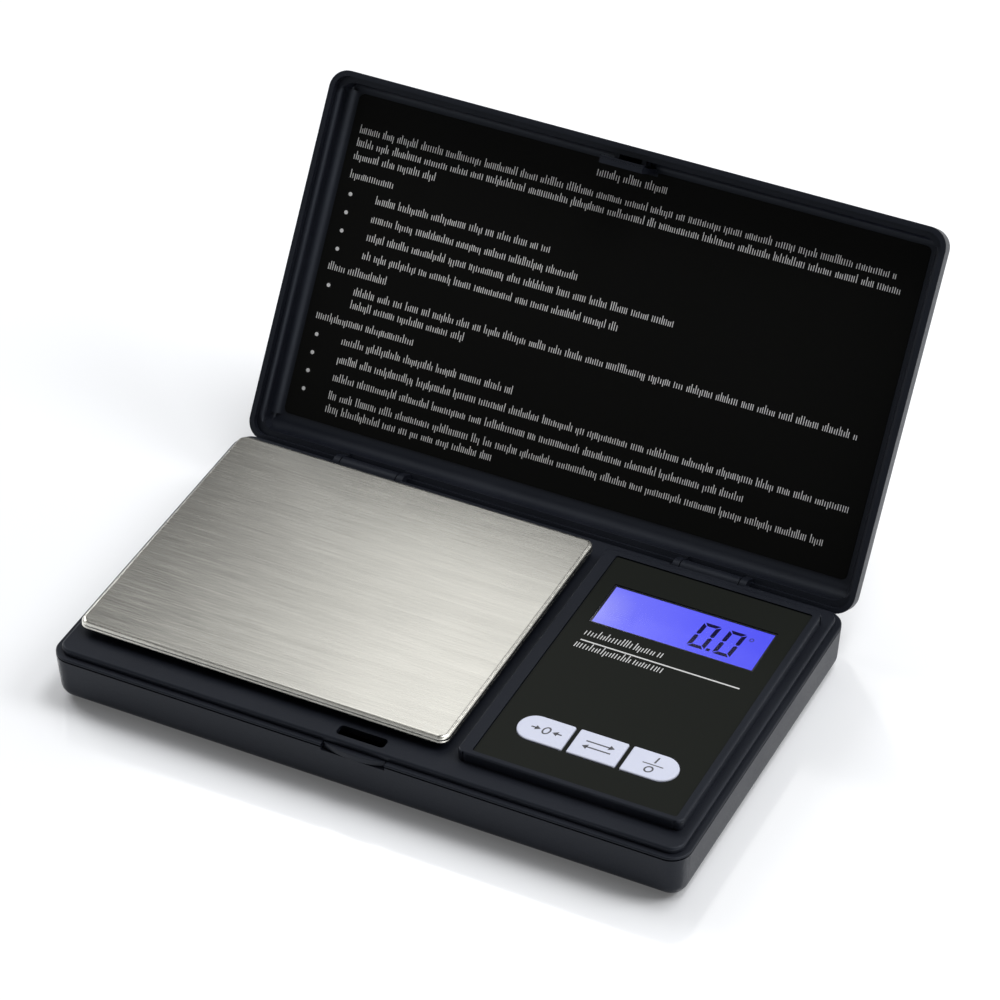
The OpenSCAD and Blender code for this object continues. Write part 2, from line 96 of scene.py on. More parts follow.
def mirrored(side, near, far):
    """Left and right limits of a span on one side (-1 or 1) of the middle."""
    return tuple(sorted((side * near, side * far)))


def ring(rect, radii, z, steps):
    """Rounded rectangle, counter-clockwise from above, from its front left corner."""
    x0, x1, y0, y1 = rect
    corners = ((x0, y0, 1, 1, 180), (x1, y0, -1, 1, 270), (x1, y1, -1, -1, 0), (x0, y1, 1, -1, 90))
    points = []
    for (x, y, inward_x, inward_y, start), radius in zip(corners, radii):
        for i in range(steps + 1):
            angle = math.radians(start + 90 * (i / steps))
            points.append((x + inward_x * radius + radius * math.cos(angle),
                           y + inward_y * radius + radius * math.sin(angle), z))
    return points


def rounded(rect, radii, profile, steps, least=0.05):
    """Solid round a rectangle from (inset, z) pairs; radii is one value or one per corner."""
    if not isinstance(radii, tuple):
        radii = (radii,) * 4
    return [ring(grown(rect, -inset), tuple(max(r - inset, least) for r in radii), z, steps)
            for inset, z in profile]


def foot_round(inset, z, radius, steps):
    """Profile of a rounded lower edge."""
    angles = [math.radians(90 * i / steps) for i in range(steps + 1)]
    return [(inset + radius - radius * math.sin(a), z + radius - radius * math.cos(a))
            for a in angles]


def top_round(inset, z, radius, steps):
    """Profile of a rounded upper edge."""
    angles = [math.radians(90 * i / steps) for i in range(steps + 1)]
    return [(inset + radius - radius * math.cos(a), z - radius + radius * math.sin(a))
            for a in angles]


def block(rect, z0, z1, radii, foot=0.15, top=0.15, steps=6, edge_steps=3):
    """Rounded block whose lower and upper edges have the radii foot and top."""
    profile = foot_round(0, z0, foot, edge_steps) if foot else [(0, z0)]
    profile += top_round(0, z1, top, edge_steps) if top else [(0, z1)]
    return rounded(rect, radii, profile, steps)


def extrude(outline, start, end, axis="z"):
    """Prism along an axis over an outline in the two other axes."""
    at = "xyz".index(axis)
    return [[p[:at] + (level,) + p[at:] for p in outline] for level in (start, end)]


def box(rect, z0, z1):
    x0, x1, y0, y1 = rect
    return extrude([(x0, y0), (x1, y0), (x1, y1), (x0, y1)], z0, z1)


def turn(profile, centre, axis="z", steps=40):
    """Solid of revolution from (radius, height) pairs; centre is (x, y), or (x, z) for axis y."""
    rings = []
    for radius, height in profile:
        points = []
        for j in range(steps):
            angle = 2 * math.pi * j / steps
            u, v = radius * math.cos(angle), radius * math.sin(angle)
            if axis == "z":
                points.append((centre[0] + u, centre[1] + v, height))
            else:
                points.append((centre[0] + v, height, centre[1] + u))
        rings.append(points)
    return rings


def cylinder(radius, z0, z1, centre, steps=40):
    return turn([(radius, z0), (radius, z1)], centre, "z", steps)


def bends(corners, radius, steps=5):
    """Path with each corner rounded."""
    corners = [Vector(p) for p in corners]
    path = [corners[0]]
    for before, corner, after in zip(corners, corners[1:], corners[2:]):
        back, ahead = before - corner, after - corner
        start = corner + back.normalized() * min(radius, back.length * 0.45)
        end = corner + ahead.normalized() * min(radius, ahead.length * 0.45)
        for k in range(steps + 1):
            t = k / steps
            path.append(start * (1 - t) ** 2 + corner * 2 * t * (1 - t) + end * t ** 2)
    return path + [corners[-1]]


def sweep(path, radius, steps):
    """Round wire along a path of points."""
    path = [Vector(p) for p in path]
    last = len(path) - 1
    tangents = [(path[min(last, i + 1)] - path[max(0, i - 1)]).normalized()
                for i in range(len(path))]
    side = tangents[0].cross(Vector((0, 0, 1)))
    if side.length < 0.1:
        side = tangents[0].cross(Vector((1, 0, 0)))
    side.normalize()
    rings = []
    for point, tangent in zip(path, tangents):
        side = (side - tangent * side.dot(tangent)).normalized()
        other = tangent.cross(side)
        angles = [2 * math.pi * j / steps for j in range(steps)]
        rings.append([point + side * radius * math.cos(a) + other * radius * math.sin(a)
                      for a in angles])
    return rings


# ---------------------------------------------------------------- objects
def add_solid(bm, rings):
    closed = rings[-1] == rings[0]
    rows = [[bm.verts.new([c * MM for c in point]) for point in points]
            for points in (rings[:-1] if closed else rings)]
    if closed:
        rows.append(rows[0])
    count = len(rows[0])
    for low, high in zip(rows, rows[1:]):
        for j in range(count):
            m = (j + 1) % count
            bm.faces.new((low[j], low[m], high[m], high[j]))
    if not closed:
        bm.faces.new(list(reversed(rows[0])))
        bm.faces.new(rows[-1])


def to_object(bm, name):
    bmesh.ops.recalc_face_normals(bm, faces=bm.faces)
    mesh = bpy.data.meshes.new(name)
    bm.to_mesh(mesh)
    bm.free()
    obj = bpy.data.objects.new(name, mesh)
    bpy.context.scene.collection.objects.link(obj)
    return obj


def made(name, *solids):
    bm = bmesh.new()
    for solid in solids:
        add_solid(bm, solid)
    return to_object(bm, name)


def cad_copy(node, name):
    """The CAD shape as a fresh mesh, with the seams of its triangles taken out."""
    source = nodes[node]
    bm = bmesh.new()
    bm.from_mesh(source.data)
    bm.transform(source.matrix_world)
    bmesh.ops.remove_doubles(bm, verts=bm.verts, dist=2e-6)
    bmesh.ops.dissolve_limit(bm, angle_limit=math.radians(0.4), verts=bm.verts, edges=bm.edges)
    return to_object(bm, name)


def modifier(obj, name, kind, **settings):
    added = obj.modifiers.new(name, kind)
    for key, value in settings.items():
        setattr(added, key, value)


def combine(obj, tool, operation):
    """Exact boolean of an object with a tool object, which is used up."""
    modifier(obj, "boolean", "BOOLEAN", operation=operation, object=tool, solver="EXACT")
    depsgraph = bpy.context.evaluated_depsgraph_get()
    mesh = bpy.data.meshes.new_from_object(obj.evaluated_get(depsgraph))
    obj.modifiers.clear()
    old = obj.data
    obj.data = mesh
    bpy.data.meshes.remove(old)
    tool_mesh = tool.data
    bpy.data.objects.remove(tool)
    bpy.data.meshes.remove(tool_mesh)
    return obj


def cut(obj, *solids):
    for solid in solids:
        combine(obj, made("cutter", solid), "DIFFERENCE")
    return obj


def join(obj, *solids):
    for solid in solids:
        combine(obj, made("adder", solid), "UNION")
    return obj


def dress(obj, body, slot, replaces=None, material=None, angle=32, bevel=0.0, move=None,
          clean=True):
    """Shading, body and material of a finished piece; edges steeper than angle stay hard."""
    if move is not None:
        obj.data.transform(move)
    bm = bmesh.new()
    bm.from_mesh(obj.data)
    if clean:
        bmesh.ops.remove_doubles(bm, verts=bm.verts, dist=2e-6)
        bmesh.ops.dissolve_degenerate(bm, edges=bm.edges, dist=1e-6)
        loose = [v for v in bm.verts if not v.link_faces]
        bmesh.ops.delete(bm, geom=loose, context="VERTS")
    limit = math.radians(angle)
    for face in bm.faces:
        face.smooth = True
    for edge in bm.edges:
        edge.smooth = not (len(edge.link_faces) == 2 and edge.calc_face_angle(0) > limit)
    bm.to_mesh(obj.data)
    bm.free()
    if bevel:
        modifier(obj, "soft_edges", "BEVEL", width=bevel * MM, segments=2, limit_method="ANGLE",
                 angle_limit=math.radians(40), use_clamp_overlap=True, harden_normals=False,
                 miter_outer="MITER_ARC")
    modifier(obj, "weighted", "WEIGHTED_NORMAL", keep_sharp=True, weight=60,
             mode="FACE_AREA_WITH_ANGLE")
    obj.data.materials.clear()
    obj.data.materials.append(material or MATERIALS[slot])
    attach(obj, body)
    if replaces:
        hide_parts(replaces)


# ---------------------------------------------------------------- shader helpers
class Graph:
    """A shader node tree; most methods add a node and return its output."""

    def __init__(self, tree, coordinate):
        tree.nodes.clear()
        self.tree = tree
        self.place = self.add("TexCoord").outputs[coordinate]

    def add(self, kind, inputs=None, **settings):
        """New node; inputs are keyed by name or index, and each is a value or an output."""
        node = self.tree.nodes.new("ShaderNode" + kind)
        for key, value in settings.items():
            setattr(node, key, value)
        for key, value in (inputs or {}).items():
            socket = node.inputs[key]
            if isinstance(value, bpy.types.NodeSocket):
                self.tree.links.new(value, socket)
            elif isinstance(value, tuple) and len(socket.default_value) == 4:
                socket.default_value = (*value, 1.0)[:4]
            else:
                socket.default_value = value
        return node

    def remap(self, value, to, over=(0.3, 0.7), interpolation="LINEAR"):
        """Carries the range over onto the range to, and holds the value beyond it."""
        ranges = {"Value": value, "From Min": over[0], "From Max": over[1],
                  "To Min": to[0], "To Max": to[1]}
        return self.add("MapRange", ranges, interpolation_type=interpolation).outputs[0]

    def math(self, operation, *values):
        """Applies the operation from left to right; a lone value is paired with zero."""
        result = values[0]
        for value in values[1:] or (0.0,):
            result = self.add("Math", {0: result, 1: value}, operation=operation).outputs[0]
        return result

    def mix_shaders(self, factor, first, second):
        return self.add("MixShader", {0: factor, 1: first, 2: second}).outputs[0]


class Shader(Graph):
    """A material in the making, textured in object space (metres)."""

    def __init__(self, name):
        self.material = bpy.data.materials.new(name)
        self.material.use_nodes = True
        super().__init__(self.material.node_tree, "Object")

    def finish(self, surface):
        self.add("OutputMaterial", {0: surface})
        return self.material

    def principled(self, inputs):
        return self.add("BsdfPrincipled", inputs).outputs[0]

    def finish_principled(self, inputs):
        return self.finish(self.principled(inputs))

    def noise(self, scale, detail=3, roughness=0.6, place=None):
        inputs = {"Scale": scale, "Detail": detail, "Roughness": roughness,
                  "Vector": place or self.place}
        return self.add("TexNoise", inputs).outputs["Fac"]

    def voronoi(self, scale, feature="F1"):
        inputs = {"Scale": scale, "Vector": self.place}
        return self.add("TexVoronoi", inputs, feature=feature).outputs["Distance"]

    def mix(self, factor, low, high):
        """Colour low where the factor is 0 and high where it is 1."""
        return self.add("Mix", {0: factor, 6: low, 7: high}, data_type="RGBA").outputs[2]

    def ramp(self, value, stops, interpolation="LINEAR"):
        """Colour ramp from (position, colour) stops."""
        node = self.add("ValToRGB", {0: value})
        elements = node.color_ramp.elements
        while len(elements) < len(stops):
            elements.new(0.5)
        for element, (position, colour) in zip(elements, stops):
            element.position = position
            element.color = (*colour, 1.0)
        node.color_ramp.interpolation = interpolation
        return node.outputs[0]

    def bump(self, height, strength, distance, below=None):
        """Bump with its distance in metres, laid over the bump below."""
        inputs = {"Strength": strength, "Distance": distance, "Height": height}
        if below:
            inputs["Normal"] = below
        return self.add("Bump", inputs).outputs[0]

    def coordinate(self, axis):
        return self.add("SeparateXYZ", {0: self.place}).outputs["XYZ".index(axis)]


def tint(colour, factor):
    return tuple(c * factor for c in colour)


# ---------------------------------------------------------------- material kinds
BLACK = (0.0, 0.0, 0.0)


def plastic(name, colour, roughness=0.5, grain=2600, depth=0.25, specular=0.5):
    """Moulded plastic; grain is the scale of its fine noise, depth the strength of its bump."""
    t = Shader(name)
    colour_swing, roughness_swing = 0.18, 0.06
    broad = t.noise(scale=38, detail=4)
    fine = t.noise(scale=grain, detail=2)
    speck = t.voronoi(scale=grain * 0.55)
    return t.finish_principled({
        "Base Color": t.mix(t.remap(broad, to=(0, 1)), low=tint(colour, 1 - colour_swing),
                            high=tint(colour, 1 + colour_swing)),
        "Roughness": t.math(
            "ADD", t.remap(broad, to=(roughness - roughness_swing, roughness + roughness_swing)),
            t.remap(fine, to=(-0.05, 0.05))),
        "Specular IOR Level": specular,
        "Normal": t.bump(fine, strength=depth * 0.8, distance=3e-5,
                         below=t.bump(speck, strength=depth, distance=4e-5))})


def case_black():
    """Blue black moulding with sparse dust."""
    t = Shader("case_black_moulded")
    broad = t.noise(scale=30, detail=5)
    fine = t.noise(scale=3000, detail=2)
    speck = t.voronoi(scale=1700)
    dust = t.remap(t.noise(scale=900, roughness=0.7), to=(0, 1), over=(0.66, 0.78))
    base = t.mix(t.remap(broad, to=(0, 1)), low=(0.0050, 0.0060, 0.0098),
                 high=(0.0076, 0.0088, 0.0135))
    return t.finish_principled({
        "Base Color": t.mix(t.math("MULTIPLY", dust, 0.25), low=base, high=(0.05, 0.05, 0.055)),
        "Roughness": t.math("ADD", t.remap(broad, to=(0.36, 0.46)),
                            t.remap(fine, to=(-0.05, 0.06))),
        "Specular IOR Level": 0.24,
        "Specular Tint": (0.80, 0.88, 1.0),
        "Normal": t.bump(fine, strength=0.14, distance=3e-5,
                         below=t.bump(speck, strength=0.16, distance=4e-5))})


def label_black():
    t = Shader("label_film")
    fine = t.noise(scale=1500)
    broad = t.noise(scale=24)
    return t.finish_principled({
        "Base Color": t.mix(broad, low=(0.0044, 0.0045, 0.0042), high=(0.0058, 0.0059, 0.0055)),
        "Roughness": t.remap(broad, to=(0.30, 0.40)),
        "Specular IOR Level": 0.04,
        "Normal": t.bump(broad, strength=0.1, distance=1e-4,
                         below=t.bump(fine, strength=0.08, distance=2e-5))})


def ink(name, colour, roughness=0.55, specular=0.4):
    t = Shader(name)
    fine = t.noise(scale=2600, roughness=0.7)
    return t.finish_principled({
        "Specular IOR Level": specular,
        "Base Color": t.mix(t.remap(fine, to=(0, 1)), low=tint(colour, 0.86), high=colour),
        "Roughness": t.remap(fine, to=(roughness - 0.08, roughness + 0.08)),
        "Normal": t.bump(fine, strength=0.2, distance=1e-5)})


def painted_plate_sheen_and_shade(t):
    """Painted sheen and shade over the plate: darker back left, lighter front left, dimmer to the
    back.
    """
    left = t.remap(t.coordinate("X"), to=(1, 0), over=(-0.064, -0.032))
    back = t.remap(t.coordinate("Y"), to=(0, 1), over=(-0.012, 0.030))
    darker = t.math("SUBTRACT", 1.0, t.math("MULTIPLY", left, back, 0.33))
    front = t.remap(t.coordinate("Y"), to=(1, 0), over=(-0.030, 0.004))
    lighter = t.math("ADD", 1.0, t.math("MULTIPLY", left, front, 0.30))
    fall = t.remap(t.coordinate("Y"), to=(1.0, 0.87), over=(-0.024, 0.002))
    return t.math("MULTIPLY", t.math("MULTIPLY", darker, lighter), fall)


def brushed(name, colour, roughness, along, anisotropy, sheet=False):
    """Metal brushed along x or y; sheet adds the painted sheen and shade of the weighing plate."""
    t = Shader(name)

    def stretched(across):
        scale = (1, across, across) if along == "x" else (across, 1, across)
        return t.add("Mapping", {"Scale": scale, "Vector": t.place}).outputs[0]

    close = 55  # how much finer the grain is across the brushing than along it
    close_place, open_place = stretched(close), stretched(close * 0.35)
    lines = t.noise(scale=80, detail=4, roughness=0.7, place=close_place)
    streaks = t.noise(scale=36, place=open_place)
    cloud = t.noise(scale=22, roughness=0.5)
    grain = t.math("ADD", t.math("MULTIPLY", lines, 0.78), t.math("MULTIPLY", streaks, 0.22))
    # the sheet's colours are raised first, so that its painted sheen and shade can go above 1
    headroom = 1.33 if sheet else 1
    base = t.mix(t.remap(grain, to=(0, 1), over=(0.34, 0.66)),
                 low=tuple(c * 0.74 * headroom for c in colour),
                 high=tuple(min(1, c * 1.12 * headroom) for c in colour))
    # painted sheen and shade, multiplied into the plate's base colour
    if sheet:
        base = t.mix(t.math("MULTIPLY", painted_plate_sheen_and_shade(t), 1 / headroom), low=BLACK, high=base)
    return t.finish_principled({
        "Base Color": base,
        "Metallic": 1.0,
        "Roughness": t.math("ADD", t.remap(lines, to=(roughness - 0.04, roughness + 0.04)),
                            t.remap(cloud, to=(-0.02, 0.02))),
        "Anisotropic": anisotropy,
        "Tangent": t.add("CombineXYZ", {1 if along == "x" else 0: 1.0}).outputs[0]})


def metal(name, colour, roughness):
    t = Shader(name)
    fine = t.noise(scale=1800)
    broad = t.noise(scale=160, detail=4)
    return t.finish_principled({
        "Base Color": t.mix(t.remap(broad, to=(0, 1)), low=tint(colour, 0.85), high=colour),
        "Metallic": 1.0,
        "Roughness": t.math("ADD", t.remap(broad, to=(roughness - 0.06, roughness + 0.08)),
                            t.remap(fine, to=(-0.04, 0.04))),
        "Normal": t.bump(fine, strength=0.12, distance=2e-5)})


def overlay_black():
    t = Shader("overlay_film")
    fine = t.noise(scale=3600, detail=2)
    cells = t.voronoi(scale=2600)
    broad = t.noise(scale=20, roughness=0.5)
    return t.finish_principled({
        "Base Color": t.mix(broad, low=(0.0112, 0.0124, 0.0108), high=(0.0136, 0.0149, 0.0130)),
        "Roughness": t.remap(broad, to=(0.17, 0.20)),
        "Specular IOR Level": 0.018,
        "Normal": t.bump(fine, strength=0.08, distance=2e-5,
                         below=t.bump(cells, strength=0.10, distance=3e-5))})


def key_pale():
    t = Shader("key_cap_frosted")
    fine = t.noise(scale=2400)
    broad = t.noise(scale=90, roughness=0.5)
    return t.finish_principled({
        "Base Color": t.mix(broad, low=(0.545, 0.575, 0.70), high=(0.60, 0.625, 0.745)),
        "Roughness": t.remap(fine, to=(0.34, 0.48)),
        "Subsurface Weight": 0.12,
        "Subsurface Radius": (0.0008, 0.0008, 0.0010),
        "Subsurface Scale": 0.4,
        "Normal": t.bump(fine, strength=0.10, distance=2e-5)})


def lcd_backlit():
    """Lit liquid crystal layer: violet blue, paler towards its left end."""
    t = Shader("lcd_backlit")
    glow_x, glow_y = (WINDOW[0] - 1.0) * MM, (WINDOW[2] + 5.0) * MM
    dx = t.math("SUBTRACT", t.coordinate("X"), glow_x)
    dy = t.math("SUBTRACT", t.coordinate("Y"), glow_y)
    distance = t.math("SQRT", t.math("ADD", t.math("MULTIPLY", dx, dx),
                                     t.math("MULTIPLY", dy, dy)))
    away = t.remap(distance, to=(0, 1), over=(0.001, 0.034))
    mottle = t.noise(scale=500)
    grid = t.noise(scale=5200, detail=1, roughness=0.5)
    colour = t.ramp(away, [(0.0, (0.36, 0.365, 1.0)), (0.22, (0.185, 0.19, 1.0)),
                           (0.6, (0.130, 0.135, 1.0)), (1.0, (0.100, 0.104, 0.95))])
    colour = t.mix(t.remap(mottle, to=(0.0, 0.05), over=(0.35, 0.65)), low=colour,
                   high=(0.09, 0.09, 0.9))
    colour = t.mix(t.remap(grid, to=(0.0, 0.08), over=(0.4, 0.6)), low=colour,
                   high=(0.10, 0.10, 0.85))
    return t.finish_principled({
        "Base Color": (0.004, 0.004, 0.010),
        "Emission Color": colour,
        "Emission Strength": 1.0,
        "Roughness": t.remap(mottle, to=(0.25, 0.4)),
        "Specular IOR Level": 0.05,
        "Normal": t.bump(grid, strength=0.05, distance=1e-5)})


def window_film_clear():
    t = Shader("window_film")
    smear = t.noise(scale=700, detail=2, roughness=0.5)
    clear = t.add("BsdfTransparent", {"Color": (0.97, 0.975, 1.0)})
    gloss = t.add("BsdfGlossy", {"Roughness": t.remap(smear, to=(0.05, 0.10))})
    fresnel = t.add("Fresnel", {"IOR": 1.42})
    return t.finish(t.mix_shaders(t.math("MULTIPLY", fresnel.outputs[0], 0.04),
                                  clear.outputs[0], gloss.outputs[0]))


def pcb_green():
    t = Shader("pcb_soldermask")
    cells = t.voronoi(scale=260, feature="DISTANCE_TO_EDGE")
    tracks = t.remap(cells, to=(1.0, 0.0), over=(0.02, 0.06))
    broad = t.noise(scale=120, roughness=0.5)
    base = t.mix(broad, low=(0.010, 0.085, 0.030), high=(0.018, 0.115, 0.045))
    return t.finish_principled({
        "Base Color": t.mix(t.math("MULTIPLY", tracks, 0.5), low=base, high=(0.03, 0.20, 0.07)),
        "Roughness": t.remap(broad, to=(0.2, 0.34)),
        "Coat Weight": 0.4,
        "Normal": t.bump(tracks, strength=0.3, distance=3e-5)})


def sleeve(name, stops, ends=(-0.024, 0.024)):
    """Colour bands along Y between two ends (metres), as on a printed sleeve."""
    t = Shader(name)
    colour = t.ramp(t.remap(t.coordinate("Y"), to=(0, 1), over=ends), stops, "CONSTANT")
    wear = t.noise(scale=300)
    return t.finish_principled({
        "Base Color": t.mix(t.remap(wear, to=(0, 0.15)), low=colour, high=BLACK),
        "Roughness": t.remap(wear, to=(0.3 - 0.05, 0.3 + 0.08)),
        "Coat Weight": 0.5,
        "Normal": t.bump(wear, strength=0.08, distance=3e-5)})


def zebra_rubber():
    """Pink rubber with a thin core of dark and pale stripes across X."""
    t = Shader("zebra_striped_rubber")
    pitch, core_y, core_half = 0.0004, 0.01015, 0.00029  # metres
    wave = t.math("SINE", t.math("MULTIPLY", t.coordinate("X"), 2 * math.pi / pitch))
    off_core = t.math("ABSOLUTE", t.math("SUBTRACT", t.coordinate("Y"), core_y))
    core = t.math("LESS_THAN", off_core, core_half)
    mottle = t.noise(scale=900)
    pink = t.mix(mottle, low=(0.62, 0.30, 0.36), high=(0.74, 0.40, 0.46))
    stripes = t.mix(t.remap(wave, to=(0, 1), over=(-0.1, 0.1)), low=(0.02, 0.02, 0.02),
                    high=(0.60, 0.58, 0.56))
    return t.finish_principled({
        "Base Color": t.mix(core, low=pink, high=stripes),
        "Roughness": t.remap(mottle, to=(0.5, 0.65)),
        "Normal": t.bump(mottle, strength=0.1, distance=3e-5)})


# ---------------------------------------------------------------- materials by slot
SLEEVE_SILVER, SLEEVE_GREEN = (0.55, 0.55, 0.57), (0.02, 0.14, 0.06)
MATERIALS = {
    "case_black": case_black(),
    "label_black": label_black(),
    # the plate's base colour carries a painted sheen and shade
    "plate_steel": brushed("plate_brushed_steel", (0.66, 0.65, 0.60), roughness=0.25, along="x",
                           anisotropy=0.92, sheet=True),
    "support_black": plastic("support_moulded", (0.03, 0.03, 0.034)),
    "tape_white": plastic("foam_tape", (0.72, 0.71, 0.66), roughness=0.8, grain=1500, depth=0.5),
    "screw_steel": metal("screw_zinc", (0.62, 0.62, 0.64), roughness=0.28),
    "cell_aluminium": brushed("cell_aluminium_bar", (0.80, 0.81, 0.83), roughness=0.28,
                              along="y", anisotropy=0.5),
    "gauge_coat": plastic("gauge_silicone", (0.82, 0.82, 0.78), roughness=0.35, grain=900,
                          depth=0.2),
    "cable_red": plastic("wire_insulation_red", (0.55, 0.03, 0.03), roughness=0.4, grain=1200,
                         depth=0.1),
    "key_pale": key_pale(),
    "carbon_black": plastic("carbon_pill", (0.012, 0.012, 0.012), roughness=0.7, grain=1600,
                            depth=0.3),
    "mat_grey": plastic("keypad_silicone", (0.55, 0.56, 0.60), roughness=0.55, grain=1400,
                        depth=0.2),
    "overlay_black": overlay_black(),
    "window_clear": window_film_clear(),
    "lcd_blue": plastic("lcd_glass_edge", (0.10, 0.13, 0.16), roughness=0.08, grain=600,
                        depth=0.02, specular=0.6),
    "guide_white": plastic("light_guide", (0.75, 0.79, 0.98), roughness=0.25, grain=900,
                           depth=0.1),
    "led_white": plastic("lamp_body", (0.85, 0.84, 0.70), roughness=0.3, grain=900, depth=0.1),
    "holder_white": plastic("holder_moulded", (0.80, 0.80, 0.78), roughness=0.45),
    "zebra_pink": plastic("zebra_elastomer", (0.70, 0.35, 0.42), roughness=0.6, grain=1200,
                          depth=0.2),
    "pcb_green": pcb_green(),
    "chip_black": plastic("chip_package", (0.02, 0.02, 0.022), roughness=0.42, grain=3000,
                          depth=0.3),
    "parts_tan": plastic("small_parts_ceramic", (0.42, 0.33, 0.20), roughness=0.35, grain=1800,
                         depth=0.2),
    "battery_green": sleeve("battery_sleeve", [
        (0.0, SLEEVE_SILVER), (0.06, SLEEVE_GREEN), (0.70, (0.75, 0.55, 0.12)),
        (0.74, SLEEVE_GREEN), (0.95, SLEEVE_SILVER)]),
    "contact_nickel": metal("contact_nickel", (0.80, 0.79, 0.76), roughness=0.2),
    "foot_rubber": plastic("foot_rubber_pad", (0.018, 0.018, 0.018), roughness=0.8, grain=1500,
                           depth=0.5),
}
PANEL_INK = ink("print_light_grey", (0.62, 0.62, 0.62))
LABEL_INK = ink("print_label_white", (0.90, 0.90, 0.90))
KEY_INK = ink("print_key_grey", (0.075, 0.075, 0.085))
SEGMENT_INK = ink("lcd_segment", (0.010, 0.008, 0.045), roughness=0.6, specular=0.02)
MASK_INK = ink("window_mask_black", (0.004, 0.004, 0.005), roughness=0.4)


def dress_cad():
    """CAD pieces get the material of their slot, and soft edges through modifiers."""
    slots = {s["node"]: s["material_slot"] for s in frame["record"]["subparts"]}
    for name, obj in nodes.items():
        obj.data.materials.clear()
        obj.data.materials.append(MATERIALS[slots[name]])
        modifier(obj, "weld", "WELD", merge_threshold=2e-6)
        modifier(obj, "flat", "DECIMATE", decimate_type="DISSOLVE",
                 angle_limit=math.radians(0.6))
        modifier(obj, "soft_edges", "BEVEL", width=0.12 * MM, segments=2, limit_method="ANGLE",
                 angle_limit=math.radians(35))
        modifier(obj, "weighted", "WEIGHTED_NORMAL", keep_sharp=True)


# ---------------------------------------------------------------- case halves and lid
# each is its CAD shape, trimmed to an envelope with rounded edges
def bottom_case():
    shell = cad_copy("bottom_case", "bottom_case_shell")
    profile = foot_round(0.5, FLOOR_Z + 0.005, 3.0, 9)
    profile += [(0.03, SEAM_Z - 0.25), (0.2, SEAM_Z - 0.02), (0.2, SEAM_Z + 0.5)]
    envelope = made("envelope", rounded(BODY, CORNER, profile, 12))
    for side in (-1, 1):
        knuckle = mirrored(side, KNUCKLE_NEAR - 0.3, KNUCKLE_FAR + 0.3)
        join(envelope, box((*knuckle, 35.0, 41.0), 7.5, 12.2))
    combine(shell, envelope, "INTERSECT")
    dress(shell, "base", "case_black", "bottom_case", angle=35, bevel=0.1)


def top_deck():
    shell = cad_copy("top_deck", "top_deck_shell")
    # the corners of the frame are filled square, then rounded by the envelope
    for x, y in ((17.6, -32.3), (62.1, -32.3), (62.1, 32.3), (17.6, 32.3)):
        join(shell, box((x, x + 1.2, y, y + 1.2), 11.0, FRAME_Z))
    cut(shell, block(grown(PANEL, 0.05), PANEL_Z - 0.5, FRAME_Z + 1, 0.5, foot=0, top=0))
    ledge = [(2.0, 5.0), (2.0, SEAM_Z - 0.01), (0.22, SEAM_Z - 0.01), (0, SEAM_Z + 0.16)]
    ledge += top_round(0, LEDGE_Z - 0.01, 0.28, 4)
    step = [(1.5, 8.5), (0.01, 9.0)] + top_round(0.01, DECK_Z - 0.005, 0.5, 6)
    step_inset = 1.3
    panel_frame = [(0.01, 9.2)] + top_round(0.01, FRAME_Z - 0.005, 0.42, 6)
    hump = [(0.01, 9.4)] + top_round(0.01, 13.695, 0.3, 4)
    hump_half = BAY_HALF_WIDTH + 1.3
    envelope = made("envelope", rounded(grown(BODY, -0.02), CORNER, ledge, 12))
    join(envelope,
         rounded(grown(BODY, -step_inset), CORNER - step_inset, step, 12),
         rounded((17.6, 63.3, -32.3, 33.5), 1.3, panel_frame, 10),
         rounded((BAY_X - hump_half, BAY_X + hump_half, -26.0, 26.0), 1.2, hump, 8))
    combine(shell, envelope, "INTERSECT")
    dress(shell, "base", "case_black", "top_deck", angle=35, bevel=0.1)


def side_cove():
    """Concave fillet between the lid's left wall and its ceiling."""
    radius, x, z = 2.3, LID_WALL_X, LID_CEILING
    angles = [math.radians(a) for a in range(0, 91, 5)]
    outline = [(x - 0.3, z + 0.3), (x - 0.3, z - radius)]
    outline += [(x + radius - radius * math.cos(a), z - radius + radius * math.sin(a))
                for a in angles]
    outline.append((x + radius, z + 0.3))
    return extrude(outline, -34.6, 33.0, "y")


def ledge_round(side):
    """Cutter that rounds the inner edge of the lid's ledge and runs out at its ends."""
    wall, ledge = LID_WALL_X, 12.4
    # y, radius of the rounding
    stations = [(-35.1, 0.2), (-34.5, 0.85), (-33.7, 1.25), (33.6, 1.25), (34.4, 0.85), (35.0, 0.2)]
    angles = [math.radians(a) for a in range(0, 91, 10)]
    rings = []
    for y, radius in stations:
        outline = [(wall - radius + radius * math.sin(a), ledge + radius - radius * math.cos(a))
                   for a in angles]
        outline += [(wall + 0.6, ledge + radius), (wall + 0.6, 11.9), (wall - radius, 11.9)]
        rings.append([(side * -x, y, z) for x, z in outline])
    return rings


def lid():
    """Shaped in its shut position, then swung open."""
    shell = cad_copy("lid", "lid_shell")
    shell.data.transform(SWING.inverted())
    profile = [(1.5, 5.0), (0.02, 5.3), (0.02, RIM_Z + 0.4)]
    profile += top_round(0.25, LID_TOP - 0.005, 4.6, 12)
    envelope = made("envelope", rounded(BODY, CORNER, profile, 12, least=0.3))
    for side in (-1, 1):
        ear = mirrored(side, KNUCKLE_NEAR - 2, KNUCKLE_FAR + 2)
        join(envelope, box((*ear, 35.0, 41.5), 6.5, RIM_Z + 2.2))
    combine(shell, envelope, "INTERSECT")
    join(shell, side_cove())
    cut(shell, ledge_round(-1), ledge_round(1))
    dress(shell, "lid", "case_black", "lid", angle=35, bevel=0.1, move=SWING)


# ---------------------------------------------------------------- flat shapes for print
def reshaped(solids, place):
    """The solids with every (x, y) carried through place."""
    return [[[(*place(x, y), z) for x, y, z in points] for points in solid] for solid in solids]


